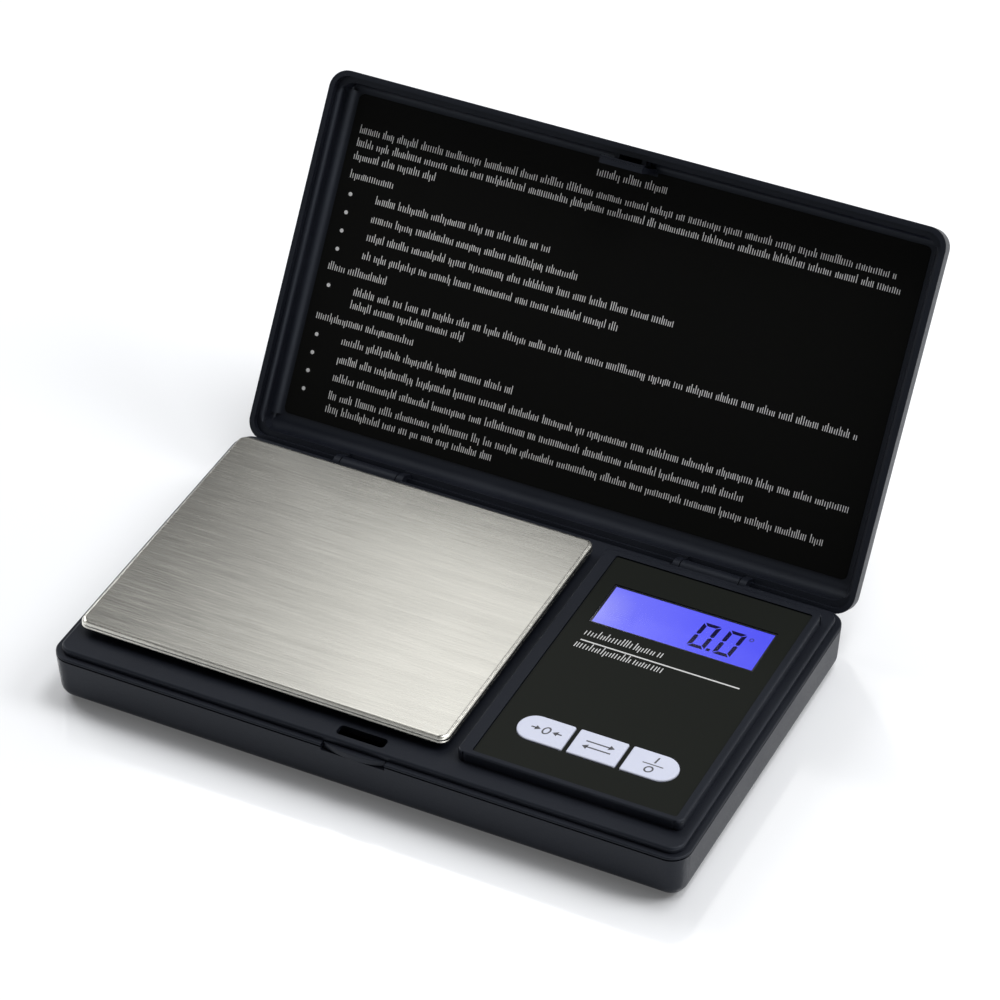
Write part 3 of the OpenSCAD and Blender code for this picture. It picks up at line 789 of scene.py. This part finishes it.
def stroke(start, end, width, levels):
    """Straight bar between two points; levels are its lower and upper z."""
    (x0, y0), (x1, y1) = start, end
    length = math.hypot(x1 - x0, y1 - y0)
    nx, ny = -(y1 - y0) / length * width / 2, (x1 - x0) / length * width / 2
    outline = [(x0 - nx, y0 - ny), (x1 - nx, y1 - ny), (x1 + nx, y1 + ny), (x0 + nx, y0 + ny)]
    return extrude(outline, *levels)


def annulus(x, y, radius_x, radius_y, width, levels, steps=24):
    """Flat oval ring."""
    low, high = levels
    half = width / 2
    angles = [math.radians(360.0 * j / steps) for j in range(steps)]
    rings = [[(x + (radius_x + off) * math.cos(a), y + (radius_y + off) * math.sin(a), z)
              for a in angles]
             for off, z in ((half, low), (half, high), (-half, high), (-half, low))]
    return rings + rings[:1]


def arrow(x0, x1, y, width, head, levels):
    """Level arrow from x0 to its tip at x1."""
    way = 1 if x1 > x0 else -1
    tip = [(x1 - way * head, y - head * 0.62), (x1, y), (x1 - way * head, y + head * 0.62)]
    return [stroke((x0, y), (x1 - way * head * 0.8, y), width, levels),
            extrude(tip[::way], *levels)]


def print_row(rng, left, right, y, levels, groups=(), *, height, pitch, width, gap, tall):
    """Groups of plain upright ticks that stand for a row of print.

    groups gives the sizes of the first groups; gap is the space between groups in pitches,
    and tall steers the share of tall ticks.
    """
    sizes = list(groups)
    ticks = []
    x = left
    while x < right - pitch * 0.6:
        room = max(1, int(round((right - x) / pitch)))
        size = sizes.pop(0) if sizes else rng.choice((2, 3, 3, 4, 4, 5, 5, 6, 7, 8, 9))
        for _ in range(min(size, room) * 2):
            draw = rng.random()
            top = 1.42 if draw < tall * 0.62 else 1.0 if draw < 0.62 else 0.82
            foot = -0.34 if draw > 0.955 else 0.0
            middle = x + width / 2
            ticks.append(stroke((middle, y + height * foot), (middle, y + height * top),
                                width, levels))
            x += pitch * rng.choice((0.44, 0.5, 0.56))
        x += gap * pitch
    return ticks


LABEL_TYPE = dict(height=1.22, pitch=0.98, width=0.165, gap=0.62, tall=0.24)
LABEL_HEADING = {**LABEL_TYPE, "height": 1.3, "width": 0.18}
BULLET_X, BULLET_RADIUS = -58.8, 0.42
# y, left, right, bullet at the head, sizes of the first groups
LABEL_ROWS = [
    (27.3, -60.0, 57.3, False, ()),
    (24.6, -60.0, 58.4, False, ()),
    (21.9, -60.0, -41.7, False, ()),
    (18.1, -59.8, -50.0, False, (10,)),
    (14.2, -53.0, -14.0, True, ()),
    (10.4, -53.0, -6.5, True, ()),
    (6.6, -53.0, 14.8, True, ()),
    (2.8, -53.0, 4.3, True, ()),
    (-1.0, -59.8, -46.0, False, (4, 9)),
    (-4.8, -53.0, 57.6, True, ()),
    (-7.5, -53.0, -27.6, False, ()),
    (-11.3, -59.8, -37.6, False, (11, 11)),
    (-15.1, -53.0, -14.0, True, ()),
    (-18.9, -53.0, 59.2, True, ()),
    (-22.7, -53.0, 37.6, True, ()),
    (-26.5, -53.0, 56.4, True, ()),
    (-29.2, -53.0, -15.3, False, ()),
]


def label_print():
    """Rows of ticks under the lid's ceiling, mirrored in Y so that they read with it open."""
    rng = random.Random(11)
    top = LID_CEILING - 0.12
    levels = (top - PRINT_THICKNESS, top)

    def row(y, left, right, groups, style):
        foot = y - style["height"] * 0.5 - 0.12
        return print_row(rng, left, right, foot, levels, groups, **style)

    solids = row(31.6, -8.2, 7.8, (5, 4, 5), LABEL_HEADING)
    for y, left, right, bullet, groups in LABEL_ROWS:
        if bullet:
            dot = [(BULLET_X + BULLET_RADIUS * math.cos(a * math.pi / 6),
                    y - 0.1 + BULLET_RADIUS * math.sin(a * math.pi / 6)) for a in range(12)]
            solids.append(extrude(dot, *levels))
        solids += row(y, left, right, groups, LABEL_TYPE)
    dress(made("label_print", *reshaped(solids, lambda x, y: (x, -y))), "lid", "label_black",
          material=LABEL_INK, move=SWING, clean=False)


# ---------------------------------------------------------------- weighing plate
# inset, z: up the inside of the skirt, round its hemmed foot and up the outside
SKIRT_PROFILE = [
    (1.1, PLATE_Z - 0.8), (0.88, PLATE_Z - 0.86), (0.8, PLATE_Z - 1.05), (0.8, 13.70),
    (0.76, 13.63), (0.68, 13.6), (0.20, 13.6), (0.08, 13.635), (0.01, 13.72), (0.0, 13.84),
    (0.015, 13.97), (0.07, 14.08), (0.13, 14.15), (0.145, 14.24), (0.12, 14.33),
    (0.06, 14.42), (0.04, 14.52),
]


def weighing_plate():
    edge = 0.85
    profile = SKIRT_PROFILE + [
        (edge - edge * math.cos(math.radians(a)), PLATE_Z - edge + edge * math.sin(math.radians(a)))
        for a in range(20, 91, 10)]
    dress(made("weighing_plate_sheet", rounded(PLATE, 2.0, profile, 12)), "platform",
          "plate_steel", "weighing_plate", angle=50)


# ---------------------------------------------------------------- keys and panel film
def key_block(left, right, end, grow, z0, z1, foot, top):
    large, small = KEY_END_RADIUS + grow, KEY_CORNER
    radii = {-1: (large, small, small, large), 0: (small,) * 4, 1: (small, large, large, small)}
    return block(grown((left, right, KEY_FRONT, KEY_BACK), grow), z0, z1, radii[end], foot, top,
                 steps=10, edge_steps=4)


def key_mark(name, x):
    """Slanted sign printed on a key."""
    y = KEY_MID_Y + 0.1
    levels = (KEY_TOP, KEY_TOP + PRINT_THICKNESS)
    line = 0.32
    if name == "tare":
        solids = [annulus(x, y, 0.66, 0.92, line, levels),
                  *arrow(x - 3.1, x - 1.2, y, line, 1.05, levels),
                  *arrow(x + 3.1, x + 1.2, y, line, 1.05, levels)]
    elif name == "mode":
        solids = [*arrow(x - 2.9, x + 2.9, y + 0.75, line, 1.1, levels),
                  *arrow(x + 2.9, x - 2.9, y - 0.75, line, 1.1, levels)]
    else:
        solids = [stroke((x, y + 0.55), (x, y + 2.25), 0.34, levels),
                  stroke((x - 2.1, y), (x + 2.1, y), 0.24, levels),
                  annulus(x, y - 1.42, 0.74, 0.76, line, levels)]
    return reshaped(solids, lambda px, py: (px + (py - y) * 0.17, py))


def keys():
    for name, left, right, end, mark_x in KEYS:
        middle = (left + right) / 2
        cap = made(f"{name}_key_cap", key_block(left, right, end, 0, 11.6, KEY_TOP, 0.05, 0.32))
        flange_left = left + (0 if end < 0 else 0.1)
        flange_right = right - (0 if end > 0 else 0.1)
        stem = (middle - 2.6, middle + 2.6, KEY_FRONT + 0.9, KEY_BACK - 0.9)
        join(cap, key_block(flange_left, flange_right, end, 0.35, 11.2, 12.38, 0.1, 0.1),
             block(stem, 7.9, 11.5, 1.2, top=0))
        dress(cap, f"{name}_button", "key_pale", f"{name}_key", angle=40)
        dress(made(f"{name}_key_mark", *key_mark(name, mark_x)), f"{name}_button", "key_pale",
              material=KEY_INK, clean=False)


def panel_film():
    profile = [(0, PANEL_Z - 0.5), (0, PANEL_Z - 0.06), (0.02, PANEL_Z - 0.015), (0.06, PANEL_Z)]
    film = made("control_overlay_film", rounded(PANEL, 0.45, profile, 6))
    cut(film, box(WINDOW, 13, 15))
    for _, left, right, end, _ in KEYS:
        cut(film, key_block(left, right, end, KEY_GAP, 13.0, 15.0, 0, 0))
    dress(film, "base", "overlay_black", "control_overlay", angle=40)


# ---------------------------------------------------------------- batteries and contacts
# radius, y: from the flat end at the front to the nub at the back
BATTERY_PROFILE = [
    (3.0, -22.12), (3.35, -22.36), (4.4, -22.4), (4.95, -22.28), (5.2, -21.98), (5.24, -21.6),
    (5.25, -20.9), (5.25, 19.9), (5.2, 20.25), (5.06, 20.45), (5.06, 20.62), (5.16, 20.8),
    (5.1, 21.05), (4.8, 21.26), (4.4, 21.3), (3.1, 21.2), (2.2, 21.22), (1.95, 21.34),
    (1.9, 21.9), (1.8, 22.04), (1.6, 22.1),
]
CELL_SILVER, CELL_BLACK = (0.50, 0.50, 0.52), (0.012, 0.012, 0.014)
CELL_GREEN, CELL_GOLD = (0.010, 0.11, 0.045), (0.60, 0.42, 0.10)
LEFT_SLEEVE = [(0.0, CELL_SILVER), (0.035, CELL_BLACK), (0.62, CELL_GREEN), (0.63, CELL_GOLD),
               (0.66, CELL_GREEN), (0.955, CELL_SILVER)]
RIGHT_SLEEVE = [(0.0, CELL_SILVER), (0.045, CELL_GREEN), (0.34, CELL_GOLD), (0.37, CELL_GREEN),
                (0.38, CELL_BLACK), (0.965, CELL_SILVER)]


def batteries():
    """The right battery lies the other way round."""
    turned = [(r, -0.3 - y) for r, y in reversed(BATTERY_PROFILE)]
    for side, letter, x, profile, stops in (
            ("left", "a", BATTERY_LEFT, BATTERY_PROFILE, LEFT_SLEEVE),
            ("right", "b", BATTERY_RIGHT, turned, RIGHT_SLEEVE)):
        dress(made(f"battery_{side}_cell", turn(profile, (x, BATTERY_Z), "y", 48)), "base",
              "battery_green", f"battery_{side}",
              sleeve(f"battery_sleeve_{letter}", stops, ends=(-0.0224, 0.0221)), angle=45)


def contact_coil(x, y, way):
    """Conical spring that narrows as it leaves the contact plate."""
    steps, turns = 84, 3.1
    path = []
    for i in range(steps + 1):
        t = i / steps
        angle = 2 * math.pi * turns * t
        radius = 3.2 - 1.25 * t
        path.append((x + radius * math.cos(angle), y + way * 1.12 * min(1.0, t * 1.02),
                     BATTERY_Z + radius * math.sin(angle)))
    return sweep(path, 0.23, 8)


def contact_tab(x, y0, y1):
    """Upright contact plate with soft corners."""
    outline = ring((x - 4, x + 4, 3.2, 11.4), (0.8,) * 4, 0, 5)
    return extrude([p[:2] for p in outline], y0, y1, "y")


def contacts():
    end = BAY_HALF_LENGTH
    dress(made("spring_contact_coils",
               contact_tab(BATTERY_LEFT, -end, -end + 0.3),
               contact_coil(BATTERY_LEFT, -end + 0.56, 1),
               contact_tab(BATTERY_RIGHT, end - 0.3, end),
               contact_coil(BATTERY_RIGHT, end - 0.56, -1)),
          "base", "contact_nickel", "spring_contacts", angle=50, clean=False)
    back_button = [(1.5, 22.15), (1.9, 22.2), (2.15, 22.5), (2.4, 23.4), (2.4, end - 0.25)]
    front_button = [(2.4, -end + 0.25), (2.4, -23.4), (2.15, -22.8), (1.9, -22.5), (1.5, -22.45)]
    dress(made("plate_contact_buttons",
               contact_tab(BATTERY_LEFT, end - 0.3, end),
               turn(back_button, (BATTERY_LEFT, BATTERY_Z), "y", 32),
               contact_tab(BATTERY_RIGHT, -end, -end + 0.3),
               turn(front_button, (BATTERY_RIGHT, BATTERY_Z), "y", 32)),
          "base", "contact_nickel", "plate_contacts", angle=50, clean=False)


# ---------------------------------------------------------------- wires
def battery_leads():
    x, y, z = BAY_X + 8.5, 26.95, 3.95
    red = bends([(x, -y, z), (20.1, -y, z), (20.1, -25.3, z)], 0.9)
    dress(made("battery_lead_red", sweep(red, 0.5, 12)), "base", "cable_red", "battery_leads",
          angle=60)
    black = [(lead_x, y, 4.47) for lead_x in (x, 12.0, 16.0, 20.6)]
    dress(made("battery_lead_black", sweep(black, 0.46, 12)), "base", "cable_red",
          material=plastic("wire_insulation_black", (0.012, 0.012, 0.013), roughness=0.4,
                           grain=1200, depth=0.1), angle=60)


CELL_WIRES = [("red", (0.50, 0.02, 0.02)), ("black", (0.012, 0.012, 0.013)),
              ("green", (0.02, 0.22, 0.05)), ("white", (0.72, 0.72, 0.70))]


def cell_wires():
    """Four wires side by side, from the load cell along the front and down to the board."""
    pitch, z = 1.1, 9.97
    for i, (name, colour) in enumerate(CELL_WIRES):
        start_x = CELL_X - 1.65 + i * pitch
        front_y = -30.3 + i * pitch
        end_x = 24.2 - i * pitch - 1.2
        path = bends([(start_x, -4.8, z), (start_x, front_y, z), (end_x, front_y, z),
                      (end_x, -27.1, z), (end_x, -27.1, 6.68)], 0.7)
        dress(made(f"cell_wire_{name}", sweep(path, 0.32, 10)), "base", "cable_red",
              "cell_cable" if i == 0 else None,
              plastic(f"cell_wire_jacket_{name}", colour, roughness=0.42, grain=1200, depth=0.1),
              angle=60)


# ---------------------------------------------------------------- under the display and keys
def zebra_strip():
    # y, z: pink block whose striped core stands proud above and below
    outline = [(9.4, 6.74), (9.84, 6.74), (9.88, 6.6), (10.42, 6.6), (10.46, 6.74), (10.9, 6.74),
               (10.9, 10.86), (10.46, 10.86), (10.42, 11.0), (9.88, 11.0), (9.84, 10.86),
               (9.4, 10.86)]
    dress(made("zebra_strip_layers", extrude(outline, 23.2, 59.1, "x")), "base", "zebra_pink",
          "zebra_strip", zebra_rubber(), angle=30)


def backlight():
    """Light guide, thinner at its left end, with a notch for each lamp on the right."""
    wedge = [(23.5, 7.0), (56.5, 7.0), (56.5, 7.6), (23.5, 8.7)]
    guide = made("backlight_guide_wedge",
                 block((24, 57.8, 12.2, 25.4), 7.6, 10.95, 0.3, 0.12, 0.08, 4, 2))
    cut(guide, extrude(wedge, 12, 26, "y"),
        *[cylinder(0.75, 7.0, 11.5, (57.95, y)) for y in (16.2, 22.2)])
    dress(guide, "base", "guide_white", "backlight_guide", angle=35, bevel=0.04)
    lamps = []
    for y in (15, 21):
        lamps += [block((58.12, 59.4, y, y + 2.4), BOARD_Z, 8.6, 0.12, 0.04, 0.06, 3, 2),
                  block((58.0, 58.3, y + 0.35, y + 2.05), 6.95, 8.3, 0.1, 0.05, 0.05, 3, 2)]
    dress(made("backlight_lamp_pair", *lamps), "base", "led_white", "backlight_leds",
          clean=False)


def key_contacts():
    profile = [(0.85, 7.4), (1.0, 7.3), (1.42, 7.3), (1.6, 7.4), (1.6, 7.62), (1.52, 7.7),
               (1.52, 7.84), (1.45, 7.9)]
    for name, left, right, _, _ in KEYS:
        pill = turn(profile, ((left + right) / 2, KEY_MID_Y), "z", 36)
        dress(made(f"{name}_contact_pill", pill), f"{name}_button", "carbon_black",
              f"{name}_contact", angle=50)


# ---------------------------------------------------------------- feet, tape and gauges
def feet():
    pad = [(2.7, 0.14), (2.95, 0.03), (3.2, 0.0), (3.65, 0.0), (3.9, 0.07), (4.0, 0.22),
           (4.0, 0.9), (3.9, 1.0)]
    inner_ring = [(1.1, 0.02), (1.3, 0.0), (1.6, 0.0), (1.75, 0.06), (1.75, 0.3)]
    solids = []
    for centre in ((-54, -28), (54, -28), (-54, 28), (54, 28)):
        solids += [turn(pad, centre, "z", 48), turn(inner_ring, centre, "z", 32)]
    dress(made("rubber_foot_pads", *solids), "base", "foot_rubber", "rubber_feet", angle=50,
          clean=False)


def plate_tape():
    strips = [(-59, -53, -27, 30), (-29.5, -17, -27, 10), (-16, 11.5, 27.6, 30.6)]
    dress(made("plate_tape_strips",
               *[block(rect, 14.1, 14.4, 0.7, 0.04, 0.04, 5, 2) for rect in strips]),
          "platform", "tape_white", "plate_tape", clean=False)


def strain_gauges():
    """Domed coats on the upper and lower faces of the load cell."""
    upper = [(0, 9.6), (0.05, 9.68), (0.25, 9.78), (0.7, 9.84), (1.2, 9.85)]
    lower = [(1.2, 3.35), (0.7, 3.36), (0.25, 3.42), (0.05, 3.52), (0, 3.6)]
    coats = [rounded((CELL_X - 3, CELL_X + 3, y - 2, y + 2), 0.9, profile, 5)
             for y in (-2.6, 4.6) for profile in (upper, lower)]
    dress(made("strain_gauge_coats", *coats), "base", "gauge_coat", "strain_gauges", angle=50,
          clean=False)


# ---------------------------------------------------------------- parts on the board
def chip_package(name, rect, replaces, *dimples):
    profile = [(0.22, 6.75), (0.0, 7.36), (0.0, 7.48), (0.22, 8.1)]
    package = cut(made(name, rounded(rect, 0.08, profile, 2)), *dimples)
    dress(package, "base", "chip_black", replaces, angle=30)


def chip_leg(at, root, toe, axis):
    """Bent leg from a package's middle down to the board; its width runs along the axis."""
    way = 1 if toe > root else -1
    outline = [(root, 7.36), (root + way * 0.42, 7.34), (root + way * 0.52, 6.74), (toe, 6.7),
               (toe, BOARD_Z), (root + way * 0.42, 6.62), (root + way * 0.34, 7.22),
               (root, 7.24)]
    return extrude(outline, at, at + 0.42, axis)


def chips():
    chip_package("processor_package", (35, 45, -8.5, 1.5), "processor_chip",
                 cylinder(0.55, 8.0, 9.0, (36.2, 0.3), 24),
                 cylinder(0.9, 8.04, 9.0, (43.6, -7.1), 28))
    chip_package("converter_package", (26, 30, -9.5, -3.5), "converter_chip",
                 cylinder(0.35, 8.0, 9.0, (26.8, -4.3), 20))
    legs = [chip_leg(35.5 + i * 1.2, root, toe, "x")
            for i in range(8) for root, toe in ((1.45, 2.4), (-8.45, -9.4))]
    legs += [chip_leg(-9 + i * 1.4, root, toe, "y")
             for i in range(4) for root, toe in ((29.95, 30.9), (26.05, 25.1))]
    dress(made("chip_legs", *legs), "base", "screw_steel",
          material=metal("leg_tin", (0.74, 0.73, 0.70), roughness=0.3), clean=False, angle=20)


def small_parts():
    """Buzzer, a row of chip capacitors and a crystal."""
    centre = (50, -4)
    profile = [(2.3, BOARD_Z), (2.5, 6.7), (2.6, 6.9), (2.6, 9.9), (2.5, 10.12), (2.3, 10.2),
               (1.6, 10.2), (1.5, 10.12)]
    buzzer = cut(made("buzzer_can", turn(profile, centre)), cylinder(0.55, 9.0, 11.0, centre, 24))
    dress(buzzer, "base", "parts_tan", "small_parts",
          plastic("buzzer_moulding", (0.014, 0.014, 0.015), roughness=0.4), angle=40)

    ceramics = [block((52.85 + i * 2, 53.95 + i * 2, 0.35, 1.65), 6.62, 7.28, 0.06, 0.03, 0.05,
                      3, 2) for i in range(4)]
    dress(made("chip_capacitors", *ceramics), "base", "parts_tan", clean=False)

    tinned = [block((52.8 + i * 2, 54.0 + i * 2, y0, y1), BOARD_Z, 7.3, 0.08, 0.04, 0.08, 3, 2)
              for i in range(4) for y0, y1 in ((0.0, 0.42), (1.58, 2.0))]
    tinned.append(block((31.4, 33.2, -2.0, 2.6), BOARD_Z, 8.0, 0.85, 0.12, 0.3, 8, 3))
    dress(made("capacitor_ends_and_crystal", *tinned), "base", "screw_steel",
          material=metal("part_tin", (0.70, 0.70, 0.69), roughness=0.32), clean=False)


# ---------------------------------------------------------------- display
def digit(left, levels):
    """A leaning figure of two level and four upright segments."""
    width, y0, y1, lean = 3.65, 14.0, 21.6, 0.65
    bar, gap = 0.86, 0.14
    half, middle = bar / 2, (y0 + y1) / 2
    lower = [(0, y0 + 0.28), (bar, y0 + bar + gap), (bar, middle - half),
             (half, middle - gap * 0.6), (0, middle - gap - 0.2)]
    upper = [(0, middle + gap + 0.2), (half, middle + gap * 0.6), (bar, middle + half),
             (bar, y1 - bar - gap), (0, y1 - 0.28)]
    outlines = [
        [(gap + 0.1, y0), (width - gap - 0.1, y0), (width - bar - gap * 0.5, y0 + bar),
         (bar + gap * 0.5, y0 + bar)],
        [(bar + gap * 0.5, y1 - bar), (width - bar - gap * 0.5, y1 - bar),
         (width - gap - 0.1, y1), (gap + 0.1, y1)],
        lower, upper]
    outlines += [[(width - x, y) for x, y in reversed(points)] for points in (lower, upper)]
    return reshaped([extrude(points, *levels) for points in outlines],
                    lambda x, y: (x + left + lean * (y - y0) / (y1 - y0), y))


def window_mask():
    """Black border round the window."""
    low, high = 13.98, 14.02
    rings = rounded(grown(WINDOW, -0.02), 0.1, [(0, low), (0, high)], 2)
    rings += rounded((24.2, 57.55, 12.4, 23.72), 0.1, [(0, high), (0, low)], 2)
    return rings + rings[:1]


def display():
    layer = block(grown(WINDOW, -0.06), 13.2, LCD_Z, 0.1, 0.02, 0.02, 3, 2)
    dress(made("lcd_polariser", layer), "base", "lcd_blue", material=lcd_backlit())
    levels = (LCD_Z, LCD_Z + PRINT_THICKNESS)
    point = [(47.2, 14.05), (47.95, 14.05), (48.0, 14.8), (47.25, 14.8)]
    dress(made("lcd_segments", *digit(43.2, levels), *digit(48.5, levels),
               extrude(point, *levels)),
          "base", "lcd_blue", material=SEGMENT_INK, clean=False)
    unit = annulus(54.0, 20.6, 0.36, 0.44, 0.2, (LCD_Z, LCD_Z + 0.01), steps=16)
    dress(made("lcd_unit_mark", unit), "base", "lcd_blue",
          material=ink("lcd_segment_faint", (0.03, 0.03, 0.2), roughness=0.5), clean=False)
    film = block(grown(WINDOW, -0.02), 14.03, PANEL_Z - 0.05, 0.15, 0.01, 0.03, 3, 2)
    dress(made("display_window_film", film), "base", "window_clear", "display_window")
    dress(made("display_window_mask", window_mask()), "base", "window_clear",
          material=MASK_INK, clean=False)


PANEL_TYPE = dict(height=1.45, pitch=1.22, width=0.19, gap=0.25, tall=0.3)


def panel_print():
    """A rule in front of the window, with a slanted row of ticks on either side of it."""
    rng = random.Random(5)
    levels = (PANEL_Z, PANEL_Z + PRINT_THICKNESS)
    ticks = print_row(rng, 24.5, 41.4, 8.0, levels, (8, 4, 2), **PANEL_TYPE)
    ticks += print_row(rng, 24.5, 43.5, 4.05, levels, (10, 3, 2), **PANEL_TYPE)
    dress(made("panel_print", stroke((24.7, 6.4), (57.7, 6.4), 0.33, levels),
               *reshaped(ticks, lambda x, y: (x + (y - 7) * 0.08, y))),
          "base", "overlay_black", material=PANEL_INK, clean=False)


# ---------------------------------------------------------------- floor, lights, world, camera
def floor_pale():
    """Pale and faintly glossy from above, clear from below so the underside can be seen."""
    t = Shader("floor_pale")
    broad = t.noise(scale=4, detail=2, roughness=0.5)
    matt = t.principled({
        "Base Color": (0.925, 0.94, 0.965),
        "Roughness": 0.6,
        "Specular IOR Level": 0.0,
        "Emission Color": (1.0, 1.0, 1.0),
        "Emission Strength": 0.12})
    gloss = t.add("BsdfGlossy", {"Color": (1, 1, 1), "Roughness": t.remap(broad, to=(0.10, 0.13))})
    gloss_share = 0.2
    top = t.mix_shaders(gloss_share, matt, gloss.outputs[0])
    below = t.add("NewGeometry").outputs["Backfacing"]
    return t.finish(t.mix_shaders(below, top, t.add("BsdfTransparent").outputs[0]))


def floor():
    half = 6.0  # metres
    mesh = bpy.data.meshes.new("floor")
    mesh.from_pydata([(-half, -half, 0), (half, -half, 0), (half, half, 0), (-half, half, 0)],
                     [], [(0, 1, 2, 3)])
    obj = bpy.data.objects.new("floor", mesh)
    bpy.context.scene.collection.objects.link(obj)
    mesh.materials.append(floor_pale())


def area_light(name, location, size, power):
    """Square light aimed at the origin; location and size in metres, power in watts."""
    light = bpy.data.lights.new(name, "AREA")
    light.energy = power
    light.shape = "RECTANGLE"
    light.size = light.size_y = size
    obj = bpy.data.objects.new(name, light)
    bpy.context.scene.collection.objects.link(obj)
    obj.location = location
    obj.rotation_mode = "QUATERNION"
    obj.rotation_quaternion = (-Vector(location)).to_track_quat("-Z", "Y")


def studio():
    """White for the camera, an even glow for matt surfaces, a graded backdrop for mirrors."""
    world = bpy.data.worlds.new("studio")
    bpy.context.scene.world = world
    world.cycles.sampling_method = "NONE"
    world.use_nodes = True
    t = Graph(world.node_tree, "Generated")
    direction = t.add("SeparateXYZ", {0: t.place})

    def fade(axis, over, to):
        return t.remap(direction.outputs[axis], to, over, "SMOOTHSTEP")

    def background(strength):
        return t.add("Background", {"Color": (1, 1, 1), "Strength": strength}).outputs[0]

    # a soft panel behind, to the left and high, whose left and lower edges show in the plate
    panel = t.math("MULTIPLY",
                   t.math("MULTIPLY", fade("X", over=(-0.425, -0.325), to=(0.0, 3.1)),
                          fade("X", over=(-0.335, -0.300), to=(1.0, 0.1))),
                   t.math("MULTIPLY", fade("Z", over=(0.52, 0.70), to=(0.0, 1.0)),
                          fade("Z", over=(0.90, 1.00), to=(1.0, 0.35))),
                   fade("Y", over=(-0.1, 0.1), to=(0.0, 1.0)))
    back = t.math("MULTIPLY", fade("X", over=(-0.43, -0.33), to=(0.07, 0.27)),
                  fade("Y", over=(-0.1, 0.5), to=(0.1, 1.0)))
    side = t.math("MULTIPLY", fade("X", over=(0.25, 0.80), to=(0.0, 1.0)),
                  fade("Y", over=(-0.9, -0.35), to=(0.1, 1.0)))
    # what only the open lid mirrors: a dim front, lighter to the left, and a strip to the right
    front = t.math("MULTIPLY", fade("X", over=(-0.50, -0.28), to=(0.95, 0.28)),
                   fade("Y", over=(-0.62, -0.38), to=(1.0, 0.0)),
                   fade("Z", over=(0.05, 0.2), to=(0.0, 1.0)))
    strip = t.math("MULTIPLY", fade("X", over=(0.30, 0.75), to=(0.0, 2.6)),
                   fade("Y", over=(-0.45, -0.20), to=(1.0, 0.0)),
                   fade("Y", over=(-0.95, -0.80), to=(0.2, 1.0)))
    left = t.math("MULTIPLY", fade("X", over=(-0.88, -0.60), to=(0.8, 0.0)),
                  fade("Z", over=(0.0, 0.3), to=(0.0, 1.0)))
    least = 0.02
    backdrop = t.math("MAXIMUM", t.math("ADD", panel, back), side, least, front, strip, left)
    glow = fade("Y", over=(-0.4, 0.6), to=(0.04, 1.1))
    white = 1.05

    rays = t.add("LightPath")
    unseen = t.mix_shaders(rays.outputs["Is Glossy Ray"], background(glow), background(backdrop))
    surface = t.mix_shaders(rays.outputs["Is Camera Ray"], unseen, background(white))
    t.add("OutputWorld", {0: surface})


def camera():
    """Long lens from the front right and above."""
    azimuth, elevation, roll = (math.radians(a) for a in (26.5548, 38.6095, -0.4610))
    distance, shift_right, shift_up = 849.183, 9.5657, 34.4584
    back = Vector((math.sin(azimuth) * math.cos(elevation),
                   -math.cos(azimuth) * math.cos(elevation), math.sin(elevation)))
    level = Vector((math.cos(azimuth), math.sin(azimuth), 0))
    upright = back.cross(level)
    c, s = math.cos(roll), math.sin(roll)
    right, up = c * level + s * upright, -s * level + c * upright
    data = bpy.data.cameras.new("camera")
    data.sensor_width = 36
    data.lens = 158.234076
    data.clip_start = 0.01
    data.clip_end = 50
    obj = bpy.data.objects.new("camera", data)
    bpy.context.scene.collection.objects.link(obj)
    matrix = Matrix((right, up, back)).transposed().to_4x4()
    matrix.translation = (right * shift_right + up * shift_up + back * distance) * MM
    obj.matrix_world = matrix
    bpy.context.scene.camera = obj


# ---------------------------------------------------------------- build
dress_cad()
for build in (bottom_case, top_deck, lid, label_print, weighing_plate, keys, panel_film,
              batteries, contacts, battery_leads, cell_wires, zebra_strip, backlight,
              key_contacts, feet, plate_tape, strain_gauges, chips, small_parts, display,
              panel_print, floor):
    build()
area_light("left_panel", location=(-1.15, 0.45, 0.95), size=0.6, power=7.0)
area_light("right_panel", location=(1.05, 0.45, 1.1), size=0.6, power=8.0)
area_light("top_panel", location=(0.30, 0.30, 1.4), size=0.5, power=8.0)
studio()
bpy.context.scene.view_settings.view_transform = "Standard"
camera()
